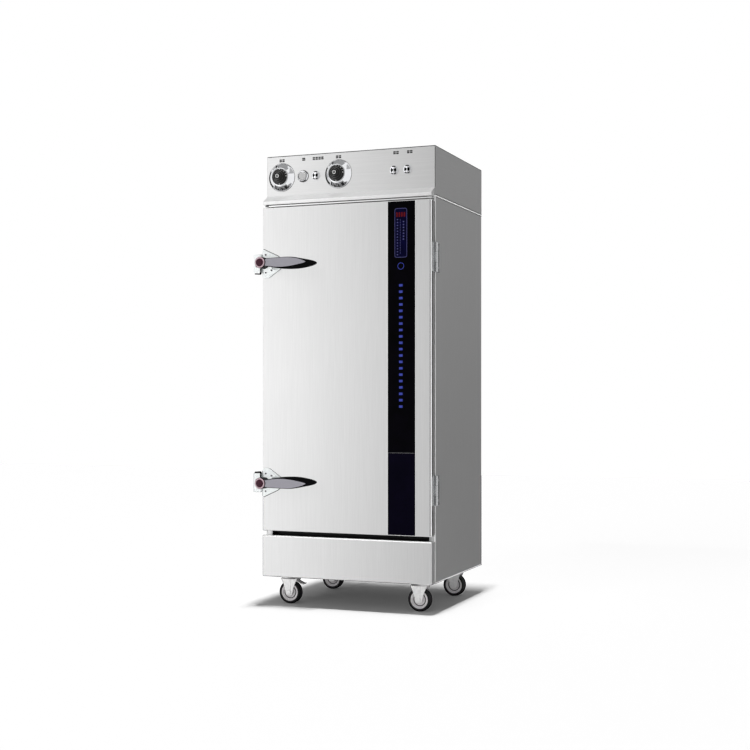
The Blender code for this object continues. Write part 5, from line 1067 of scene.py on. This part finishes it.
def make_hinges():
    """Knuckled hinges: a comb-shaped leaf with its barrels, and three screws in each."""
    for level in LEVELS:
        low, high = corners("hinge_frame_leaf_" + level)
        door_low, _ = corners("hinge_door_leaf_" + level)
        axis_x, axis_y = high[0] - BARREL, low[1] + BARREL
        z, half = (low[2] + high[2]) / 2, MIDDLE_SHARE * (high[2] - low[2])
        under, over = z - half - GAP, z + half + GAP
        edge, start = high[1], axis_y + BARREL + LEAF_PLAY
        line = [
            (axis_y, low[2]), (edge, low[2]), (edge, high[2]), (axis_y, high[2]),
            (axis_y, over), (start, over), (start, under), (axis_y, under),
        ]
        leaf = hinge_leaf(line, FRAME_LEAF_FOLDS, low[0])
        barrels = [
            knuckle(*ends, axis_x, axis_y, radius)
            for *ends, radius in (
                (low[2], under, BARREL),
                (over, high[2], BARREL),
                (low[2] - HINGE_PIN_END, high[2] + HINGE_PIN_END, HINGE_PIN),
            )
        ]
        screws = [
            screw(*HINGE_SCREW, (low[0] + LEAF_THICK, edge + y, z + dz), "right")
            for y, dz in FRAME_SCREWS
        ]
        piece = joined("hinge_on_frame_" + level, leaf, *barrels, *screws)
        fit(piece, POLISHED, "cabinet", "satin_steel", "hinge_frame_leaf_" + level)

        edge, start = door_low[1], axis_y - BARREL - LEAF_PLAY
        line = [
            (edge, low[2]), (start, low[2]), (start, z - half), (axis_y, z - half),
            (axis_y, z + half), (start, z + half), (start, high[2]), (edge, high[2]),
        ]
        leaf = hinge_leaf(line, DOOR_LEAF_FOLDS, low[0])
        screws = [
            screw(*HINGE_SCREW, (low[0] + LEAF_THICK, edge + y, z + dz), "right")
            for y, dz in DOOR_SCREWS
        ]
        barrel = knuckle(z - half, z + half, axis_x, axis_y, BARREL)
        piece = joined("hinge_on_door_" + level, leaf, barrel, *screws)
        fit(piece, POLISHED, "door", "satin_steel", "hinge_door_leaf_" + level)


# The handle's outline and its insert's, from the pivot: shares of its length and its width
HANDLE_SHARES = np.array([
    (0.00, 0.30), (0.15, 0.35), (0.32, 0.375), (0.51, 0.405), (0.65, 0.33), (0.78, 0.20),
    (0.90, 0.09), (0.985, -0.02), (1.025, -0.16), (1.00, -0.31), (0.91, -0.44),
    (0.73, -0.59), (0.56, -0.605), (0.40, -0.56), (0.26, -0.46), (0.15, -0.34), (0.00, -0.30),
])
INSERT_SHARES = np.array([
    (0.06, 0.25), (0.15, 0.30), (0.32, 0.33), (0.51, 0.36), (0.64, 0.265), (0.74, 0.14),
    (0.81, 0.01), (0.842, -0.08), (0.78, -0.16), (0.66, -0.27), (0.55, -0.355),
    (0.40, -0.41), (0.26, -0.385), (0.15, -0.29), (0.06, -0.26),
])
HANDLE_SIZE = mm(231, 48)
HANDLE_THICKNESS, HANDLE_EDGE, HANDLE_STAND_OFF = mm(16, 3.2, 20)
INSERT_LOW, INSERT_HIGH, INSERT_EDGE = mm(-1, 1.1, 0.9)
TONGUE = mm(12.5, 15, 4)
TONGUE_LOW, TONGUE_HIGH, TONGUE_PLACE = mm(0.15, 4.5, 23.5)
BOSS = mm((0, 30.6), (6.3, 30.6), (6.3, 0), (22.5, 0), (22.5, 39), (20.6, 42), (0, 42))
BOSS_FOLDS = mm(0, 0.2, 0.2, 1, 2.5, 2, 0)
BOSS_RING = mm(
    (15.6, -0.6), (20.6, -0.9), (20.9, -0.1), (20, 0.8), (18, 1.2), (16.2, 1.1), (15.6, 0.5)
)
BOSS_CAP = mm((0, 2.2), (6, 2.0), (12, 1.3), (15.3, 0.2), (15.4, -0.6), (0, -0.6))

# The latch's plate, with its raised field, post, stop pin and screws, and a black rim behind
# it that paints the shade line round the plate's edge
PLATE_SHARES = np.array([(0, -0.5), (0.34, -0.5), (1, -0.17), (1, 0.06), (0.85, 0.22), (0, 0.5)])
PLATE_SIZE = mm(83, 115)
PLATE_CORNER, PLATE_THICK, PLATE_EDGE, PIVOT_INSET = mm(9, 2, 0.8, 12)
FIELD_INSET, FIELD_FOLD, FIELD_LOW, FIELD_HIGH = mm(6, 5, 1.5, 2.8)
POST = mm((0, 0), (11.5, 0), (11.5, 9), (11, 9.4), (6, 9.4), (6, 39), (0, 39))
STOP_PIN = mm((0, 0), (5, 0), (5, 37), (4.2, 37.8), (0, 38))
STOP_PIN_PLACE = mm(41, -21.6)
SHADE_RIM_MARGIN, SHADE_RIM_LOW, SHADE_RIM_HIGH, SHADE_RIM_EDGE = mm(0.9, -0.2, 0.5, 0.2)
SHADE_RIM_SHIFT = mm(1.5, 0.7)
PLATE_SCREWS = mm((14.4, 33.5, 3.6), (15, -36, 3.6), (39.7, -27, 4.4))
PLATE_SCREW_RISE, PLATE_SCREW_LIFT = mm(2, 2.6)

# The keeper's angle, and the outline of a thin black L beside and under it that paints the
# shade there
KEEPER_SHEET, KEEPER_FOLD = mm(2, 4)
KEEPER_SCREW, KEEPER_SCREW_Y, KEEPER_SCREW_Z = mm(4, 1.4), 22 * MM, 22 * MM
KEEPER_SHADE_L = mm(
    (-7.4, -20), (-7.4, -35), (-9, -38.6), (-30, -37.4), (-30, -42), (-4, -44), (0, -40), (0, -20)
)
SHADE_L_FOLD, SHADE_L_THICK, SHADE_L_SHIFT = mm(1.2, 0.2, 0.6)


def make_latches():
    """Each latch's base on the door, its handle with the insert and boss, and its keeper."""
    for level, way in (("top", 1), ("bottom", -1)):
        low, high = corners("latch_base_" + level)
        keeper = corners("keeper_" + level)
        back, z = high[1], (keeper[0][2] + keeper[1][2]) / 2
        x, place = low[0] + PIVOT_INSET, (low[0], back, z)
        mirror = np.array([1, way])
        shape = PLATE_SHARES * PLATE_SIZE * mirror
        outline = soften(shape, PLATE_CORNER, 5, closed=True)
        plate = flat("base", outline, 0, PLATE_THICK, place, "front", PLATE_EDGE)
        raised = offset(anticlockwise(shape), FIELD_INSET, closed=True)
        raised = soften(raised, FIELD_FOLD, 5, closed=True)
        rim = flat("base", raised, FIELD_LOW, FIELD_HIGH, place, "front", PLATE_EDGE)
        hub = turned("base", POST, (x, back, z), "front", 40)
        right, up = STOP_PIN_PLACE * mirror
        stud = turned("base", STOP_PIN, (x + right, back, z + up), "front", 32)
        # A black rim just outside the plate: painted shade along its edge
        around = offset(anticlockwise(outline), -SHADE_RIM_MARGIN, closed=True) + SHADE_RIM_SHIFT * mirror
        shade_rim = flat("latch_shade_rim_" + level, around, SHADE_RIM_LOW, SHADE_RIM_HIGH, place, "front", SHADE_RIM_EDGE)
        fit(shade_rim, RUBBER_AND_SHADE, "door", "rubber")
        piece = joined("latch_plate_" + level, plate, rim, hub, stud)
        fit(piece, PALE_STEEL, "door", "satin_steel", "latch_base_" + level)
        heads = back - PLATE_SCREW_LIFT
        screws = [
            screw(radius, PLATE_SCREW_RISE, (low[0] + u, heads, z + way * v), "front")
            for u, v, radius in PLATE_SCREWS
        ]
        fit(joined("latch_screws_" + level, *screws), DARK_SCREW, "door", "zinc")
        make_handle(level, mirror, x, z)
        make_keeper(level, mirror, *keeper, z)


def make_handle(level, mirror, x, z):
    """A lever: its blade, boss and tongue in one, the inlay, and the boss's ring and cap."""
    body = "latch_" + level
    low, high = corners("latch_handle_" + level)
    back, size = high[1] - HANDLE_STAND_OFF, HANDLE_SIZE * mirror
    outline = smoothed(HANDLE_SHARES * size)
    blade = flat("blade", outline, 0, HANDLE_THICKNESS, (x, back, z), "front", HANDLE_EDGE, 6)
    boss = turned("boss", soften(BOSS, BOSS_FOLDS), (x, high[1], z), "front", 96)
    place = (x - TONGUE_PLACE, high[1], z)
    tongue = flat("tongue", rectangle(*TONGUE), TONGUE_LOW, TONGUE_HIGH, place, "front", 1 * MM)
    piece = joined("handle_body_" + level, blade, boss, tongue)
    fit(piece, NYLON, body, "black_plastic", "latch_handle_" + level)
    insert = flat(
        "handle_insert_" + level, smoothed(INSERT_SHARES * size), INSERT_LOW, INSERT_HIGH,
        (x, back - HANDLE_THICKNESS, z), "front", INSERT_EDGE, 4,
    )
    fit(insert, INSERT, body, "grey_plastic")
    front = (x, low[1], z)
    profile = soften(BOSS_RING, 0.3 * MM, 3, closed=True)
    ring = turned("boss_ring_" + level, profile, front, "front", 96, ring=True)
    fit(ring, PINK_RING, body, "grey_plastic")
    cap = turned("boss_cap_" + level, soften(BOSS_CAP, 1.5 * MM, 4), front, "front", 96)
    fit(cap, MAROON, body, "black_plastic")
    unmirrored(piece, insert, ring, cap)


def make_keeper(level, mirror, low, high, z):
    """The keeper: an angle on the cabinet's side, with a thin black L round one corner that
    paints the shade under the keeper and in its gap to the door.
    """
    line = [(high[0], high[1]), (high[0], low[1]), (low[0], low[1])]
    angle = folded("keeper", line, -KEEPER_SHEET, KEEPER_FOLD, low[2], high[2])
    x, y = high[0] - KEEPER_SHEET, high[1] - KEEPER_SCREW_Y
    screws = [
        screw(*KEEPER_SCREW, (x, y, z + dz), "left") for dz in (-KEEPER_SCREW_Z, KEEPER_SCREW_Z)
    ]
    piece = joined("keeper_angle_" + level, angle, *screws)
    fit(piece, PALE_STEEL, "cabinet", "satin_steel", "keeper_" + level)
    outline = soften(KEEPER_SHADE_L * mirror, SHADE_L_FOLD, 4, closed=True)
    place = (high[0] + SHADE_L_SHIFT, low[1], z)
    shade_l = flat(
        "keeper_shade_" + level, outline, -INK, SHADE_L_THICK, place, "front", INK / 2
    )
    fit(shade_l, RUBBER_AND_SHADE, "cabinet", "rubber")


# Casters: turned profiles are (radius, height), and outlines (across, up)

MOUNT, MOUNT_THICK = mm(45, 35, 6), 3 * MM
BOLT, BOLT_X, BOLT_Y = mm(5, -2.4), mm(-36, 36), mm(-26, 26)
PRESSED_EDGE = 0.6 * MM
PIN_HEAD, PIN_HEAD_BEVEL, PIN_RADIUS, PIN_HEAD_HEIGHT, PIN_HEAD_SHOULDER = mm(10, 9, 6, 3.3, 2)
CROWN, CROWN_DROP, CROWN_THICK = mm(33, 20.5, 4), 14.5 * MM, 3 * MM
LEG_FOLDS = mm(8, 8, 14, 3, 1, 1, 3, 14)
LEG_PLACE, LEG_THICK, RIB_LOW, RIB_HIGH, RIB_EDGE, RIB_FOLD = mm(18, 2.5, 2, 3.9, 1.1, 3)
AXLE_HEAD = mm((0, 2), (9, 2), (9, 4.2), (7.8, 5.2), (4.5, 5.5), (4, 5), (0, 5))
AXLE = mm((0, -19), (5, -19), (5, 19), (0, 19))
RACE = mm(
    (6.4, 2), (21, 2), (23, 4), (23, 6.5), (21.6, 7.6), (21.6, 9), (22.6, 10.2), (22.6, 13),
    (21.4, 14.4), (6.4, 14.4),
)
HUB_SIDE = mm(
    (5.4, 17), (10.8, 17), (12, 16), (12.6, 9.5), (14.5, 7.2), (17.5, 6.6), (18.6, 8.4),
    (20.8, 8.4), (21.8, 6.6), (25, 6.6), (26.2, 8.8), (28.4, 9.2), (30.2, 13), (31.5, 13.6),
    (34.4, 13.6), (35, 12.8),
)
HUB_GROOVE_SHADE = mm((22.2, 6), (25, 6), (25, 7.3), (22.2, 7.3))
TYRE_SIDE = mm((35.3, 16), (40.6, 16), (43.4, 14.6), (44.6, 11), (45, 5))


def make_caster(name):
    """A swivel caster: its plate, V-shaped fork with a pressed rib, race, axle, hub and tyre."""
    low, high = corners("caster_plate_" + name)
    _, fork_high = corners("caster_fork_" + name)
    tyre_low, tyre_high = corners("tyre_" + name)
    pin_x, y = (low[0] + high[0]) / 2, (low[1] + high[1]) / 2
    wheel_x, axle_z = (tyre_low[0] + tyre_high[0]) / 2, (tyre_low[2] + tyre_high[2]) / 2
    pin, centre = (pin_x, y, 0), (wheel_x, y, axle_z)
    plate_low, crown_low = high[2] - MOUNT_THICK, fork_high[2] - CROWN_DROP

    plate = flat("plate", rectangle(*MOUNT), plate_low, high[2], pin, "up", PRESSED_EDGE)
    bolts = [screw(*BOLT, (pin_x + u, y + v, plate_low), "up") for u in BOLT_X for v in BOLT_Y]
    foot, neck, top = crown_low - PIN_HEAD_HEIGHT, crown_low - GAP, high[2] - MM
    profile = [
        (0, foot), (PIN_HEAD_BEVEL, foot), (PIN_HEAD, crown_low - PIN_HEAD_SHOULDER),
        (PIN_HEAD, neck), (PIN_RADIUS, neck), (PIN_RADIUS, top), (0, top),
    ]
    kingpin = turned("pin", profile, pin, "up", 32)
    piece = joined("caster_mount_" + name, plate, kingpin, *bolts)
    fit(piece, ZINC, "cabinet", "zinc", "caster_plate_" + name)

    up = (crown_low - axle_z) / MM
    leg = mm(
        (-12, -12), (12, -12), (21, up / 2), (33, up + 1), (33, up + 3), (-33, up + 3),
        (-33, up + 1), (-21, up / 2),
    )
    leg = soften(leg, LEG_FOLDS, 6, closed=True)
    rib = mm((-5, 4), (5, 4), (9.5, up - 2), (-9.5, up - 2))
    rib = soften(rib, RIB_FOLD, 4, closed=True)
    head = soften(AXLE_HEAD, 0.4 * MM, 3)
    parts = []
    for facing, way in (("front", -1), ("back", 1)):
        inner = (wheel_x, y + way * LEG_PLACE, axle_z)
        parts.append(flat("fork", leg, 0, LEG_THICK, inner, facing, PRESSED_EDGE))
        parts.append(flat("fork", rib, RIB_LOW, RIB_HIGH, inner, facing, RIB_EDGE))
        parts.append(turned("fork", head, inner, facing, 32))
    crown, crown_high = rectangle(*CROWN), crown_low + CROWN_THICK
    parts.append(flat("fork", crown, crown_low, crown_high, (wheel_x, y, 0), "up", PRESSED_EDGE))
    race = soften(RACE + (0, crown_low), 0.7 * MM, 3, closed=True)
    parts.append(turned("fork", race, pin, "up", 48, ring=True))
    parts.append(turned("fork", AXLE, centre, "front", 24))
    fork = joined("caster_yoke_" + name, *parts)
    fit(fork, ZINC, "caster_" + name, "zinc", "caster_fork_" + name)

    # A black ring in the hub's groove: painted shade in the recess
    groove_shade = turned("wheel_groove_shade_" + name, HUB_GROOVE_SHADE, centre, "front", 64, ring=True)
    fit(groove_shade, RUBBER_AND_SHADE, "wheel_" + name, "rubber")
    profile = soften(both_sides(HUB_SIDE), 0.6 * MM, 3, closed=True)
    hub = turned("wheel_centre_" + name, profile, centre, "front", 96, ring=True)
    fit(hub, HUB, "wheel_" + name, "grey_plastic", "wheel_hub_" + name)
    tread = TYRE_SIDE[-1, 0]
    side = TYRE_SIDE * (min(tyre_high[2] - axle_z, tread) / tread, 1)
    profile = soften(both_sides(side), 2 * MM, 4, closed=True)
    tyre = turned("wheel_tyre_" + name, profile, centre, "front", 128, ring=True)
    fit(tyre, TYRE, "wheel_" + name, "rubber", "tyre_" + name)


def both_sides(side):
    """A wheel's closed profile, from one side's and the same turned over."""
    return np.concatenate([side, side[::-1] * (1, -1)])


# Fittings on the back

VENT_FOLDS = mm(0.6, 0.6, 2, 1, 0.2, 0.2, 0.5, 0.5)


def make_fittings():
    """The steam vent's flanged pipe, and the cable gland with its two hexagons."""
    wall = (HOOD_HIGH.y + GAP) / MM
    low, high = corners("steam_vent")
    centre = ((low[0] + high[0]) / 2, 0, (low[2] + high[2]) / 2)
    start, end = low[1] / MM, high[1] / MM
    vent = mm(
        (14.5, end), (16, end), (16, wall + 1.5), (26, wall + 1.5), (26, wall), (16, wall),
        (16, start), (14.5, start),
    )
    vent = soften(vent, VENT_FOLDS, 4, closed=True)
    vent = turned("vent_pipe", vent, centre, "back", 64, ring=True)
    fit(vent, MILL_STEEL, "cabinet", "satin_steel", "steam_vent")

    low, high = corners("cable_gland")
    centre = ((low[0] + high[0]) / 2, 0, (low[2] + high[2]) / 2)
    start, nut, end = low[1] / MM, wall + 10, high[1] / MM
    shell = mm(
        (5, end), (8, end), (10.8, nut + 11), (12, nut + 6), (12, nut + 0.6), (10.6, nut),
        (10.6, wall + 1), (10, wall), (10, start + 5), (13, start + 5), (13, start), (5, start),
    )
    shell = soften(shell, 0.8 * MM, 3, closed=True)
    parts = [turned("gland", shell, centre, "back", 64, ring=True)]
    for at, depth in ((wall + 0.2, 9.4), (start + 0.2, 4.6)):
        ring = mm((9, at), (13.6, at), (13.6, at + depth), (9, at + depth))
        ring = soften(ring, MM, 3, closed=True)
        parts.append(turned("gland", ring, centre, "back", 6, ring=True))
    fit(joined("gland_body", *parts), NYLON, "cabinet", "black_plastic", "cable_gland")


# Lights, floor and reflections

MATT_SURROUND = 0.27
GRADED_TOP = 2.2
FLOOR_REACH = 8.0

# Lamps: place, target, width and depth in metres, and power in watts
LAMPS = {
    "key": ((0.36, -1.1, 20.0), (0.36, -1.1, 0), (0.8, 3.0), 4700),
    "fill": ((-1.6, -5.0, 0.9), (0, 0, 0.9), (2.2, 2.2), 60),
}
# Brightness at shares of the way along a card
FRONT_ACROSS = [
    (0, 1.0), (0.19, 1.06), (0.27, 1.76), (0.33, 1.72), (0.43, 1.165), (0.52, 0.757),
    (0.62, 0.462), (1, 0.37),
]
FRONT_UPWARDS = [
    (0, 0.83), (0.3, 0.915), (0.45, 1.045), (0.55, 1.02), (0.65, 0.93), (0.72, 0.90), (1, 0.86)
]
SIDE_UPWARDS = [(0, 0.19), (0.25, 0.189), (0.38, 0.212), (0.5, 0.238), (0.6, 0.255), (1, 0.27)]
UPPER_ACROSS = [(0, 1.0), (0.2, 1.1), (0.3, 2.1), (0.37, 2.0), (0.46, 1.4), (0.55, 0.62), (1, 0.45)]
# Cards: a corner, two edges, and one brightness or slopes of axis, start, end and stops
CARDS = {
    "front_card": (
        (-3.8, -2.8, -1.6), (5.8, 0, 0), (0, 0, 5.4),
        [(0, -3.8, 2.0, FRONT_ACROSS), (2, -1.6, 3.8, FRONT_UPWARDS)],
    ),
    "side_card": ((0.3, 2.3, -1.6), (7.4, 0, 0), (0, 0, 6.2), [(2, -1.6, 4.6, SIDE_UPWARDS)]),
    "ceiling_card": ((-2.9, -0.85, 3.3), (3.3, 0, 0), (0, 1.45, 0), 0.36),
    "upper_card": ((-3.2, -3.6, 3.3), (5.4, 0, 0), (0, 2.5, 0), [(0, -3.2, 2.2, UPPER_ACROSS)]),
    "under_card": ((-0.42, -0.34, -0.02), (0.86, 0, 0), (0, 0.74, 0), 0.03),
}


def make_world():
    """A white surround for the eye and for reflections, and a weaker one for matt surfaces."""
    world = bpy.data.worlds.new("studio")
    bpy.context.scene.world = world
    world.use_nodes = True
    world.cycles.sampling_method = "NONE"
    tree = world.node_tree
    background = tree.nodes["Background"]
    background.inputs["Color"].default_value = (1, 1, 1, 1)
    path = add(tree, "LightPath")
    rays = {0: (path, "Is Camera Ray"), 1: (path, "Is Glossy Ray")}
    seen = add(tree, "Math", {"operation": "MAXIMUM"}, rays)
    rays = {0: (seen, 0), 1: (path, "Is Transmission Ray")}
    seen = add(tree, "Math", {"operation": "MAXIMUM"}, rays)
    ends = {"To Min": MATT_SURROUND, "To Max": 1.0}
    strength = add(tree, "MapRange", ends, {"Value": (seen, 0)})
    tree.links.new(strength.outputs[0], background.inputs["Strength"])


def linked(name, data):
    """A new object in the scene."""
    piece = bpy.data.objects.new(name, data)
    bpy.context.scene.collection.objects.link(piece)
    return piece


def sheet_of(name, corner, along, across):
    """A flat sheet of one face, from a corner and two edges."""
    corner, along, across = (np.array(v, float) for v in (corner, along, across))
    points = [corner, corner + along, corner + along + across, corner + across]
    mesh = bpy.data.meshes.new(name)
    mesh.from_pydata([point.tolist() for point in points], [], [(0, 1, 2, 3)])
    return linked(name, mesh)


def area_light(name, place, target, size, power):
    """A soft oval lamp that points at a place and doesn't show in reflections."""
    lamp = bpy.data.lights.new(name, "AREA")
    lamp.shape = "ELLIPSE"
    lamp.size, lamp.size_y = size
    lamp.energy = power
    holder = linked(name, lamp)
    holder.location = place
    way = Vector(target) - Vector(place)
    holder.rotation_euler = way.to_track_quat("-Z", "Y").to_euler()
    holder.visible_glossy = False


def card(name, corner, along, across, brightness):
    """A card that only glossy surfaces see, of one brightness or with slopes of it."""
    piece = sheet_of(name, corner, along, across)
    material = bpy.data.materials.new(name)
    material.use_nodes = True
    tree = material.node_tree
    tree.nodes.remove(tree.nodes["Principled BSDF"])
    light = add(tree, "Emission")
    tree.links.new(light.outputs[0], tree.nodes["Material Output"].inputs["Surface"])
    if isinstance(brightness, list):
        strength = graded(tree, brightness)
        tree.links.new(strength.outputs[0], light.inputs["Strength"])
    else:
        light.inputs["Strength"].default_value = brightness
    piece.data.materials.append(material)
    for way in ("camera", "diffuse", "transmission", "volume_scatter", "shadow"):
        setattr(piece, "visible_" + way, False)


def graded(tree, slopes):
    """A product of curves, each along an axis between two places."""
    place = add(tree, "TexCoord")
    parts = add(tree, "SeparateXYZ", {}, {0: (place, "Object")})
    strength = None
    for axis, start, end, stops in slopes:
        ends = {"From Min": start, "From Max": end}
        share = add(tree, "MapRange", ends, {"Value": (parts, axis)})
        curve = add(tree, "FloatCurve", {}, {"Value": (share, 0)})
        points = curve.mapping.curves[0].points
        for at, value in stops[1:-1]:
            points.new(at, value / GRADED_TOP)
        for point, (at, value) in ((points[0], stops[0]), (points[len(points) - 1], stops[-1])):
            point.location = (at, value / GRADED_TOP)
        for point in points:
            point.handle_type = "AUTO_CLAMPED"
        curve.mapping.update()
        scaled = add(tree, "Math", {"operation": "MULTIPLY", 1: GRADED_TOP}, {0: (curve, 0)})
        if strength:
            both = {0: (scaled, 0), 1: (strength, 0)}
            scaled = add(tree, "Math", {"operation": "MULTIPLY"}, both)
        strength = scaled
    return strength


def make_stage():
    """The surround, a floor that keeps only shadows, the lamps and the cards."""
    make_world()
    reach = FLOOR_REACH
    floor = sheet_of("floor", (-reach, -reach, 0), (2 * reach, 0, 0), (0, 2 * reach, 0))
    floor.data.materials.append(FLOOR)
    floor.is_shadow_catcher = True
    floor.visible_glossy = False
    for name, lamp in LAMPS.items():
        area_light(name, *lamp)
    for name, shape in CARDS.items():
        card(name, *shape)


make_camera()
finish_cad_nodes()
make_panels()
make_hood()
make_fascia()
make_marks()
make_door()
make_beads()
make_dials()
make_button()
make_lamps()
make_hinges()
make_latches()
for caster in CASTERS:
    make_caster(caster)
make_fittings()
make_stage()

bpy.context.scene.view_settings.view_transform = "Standard"
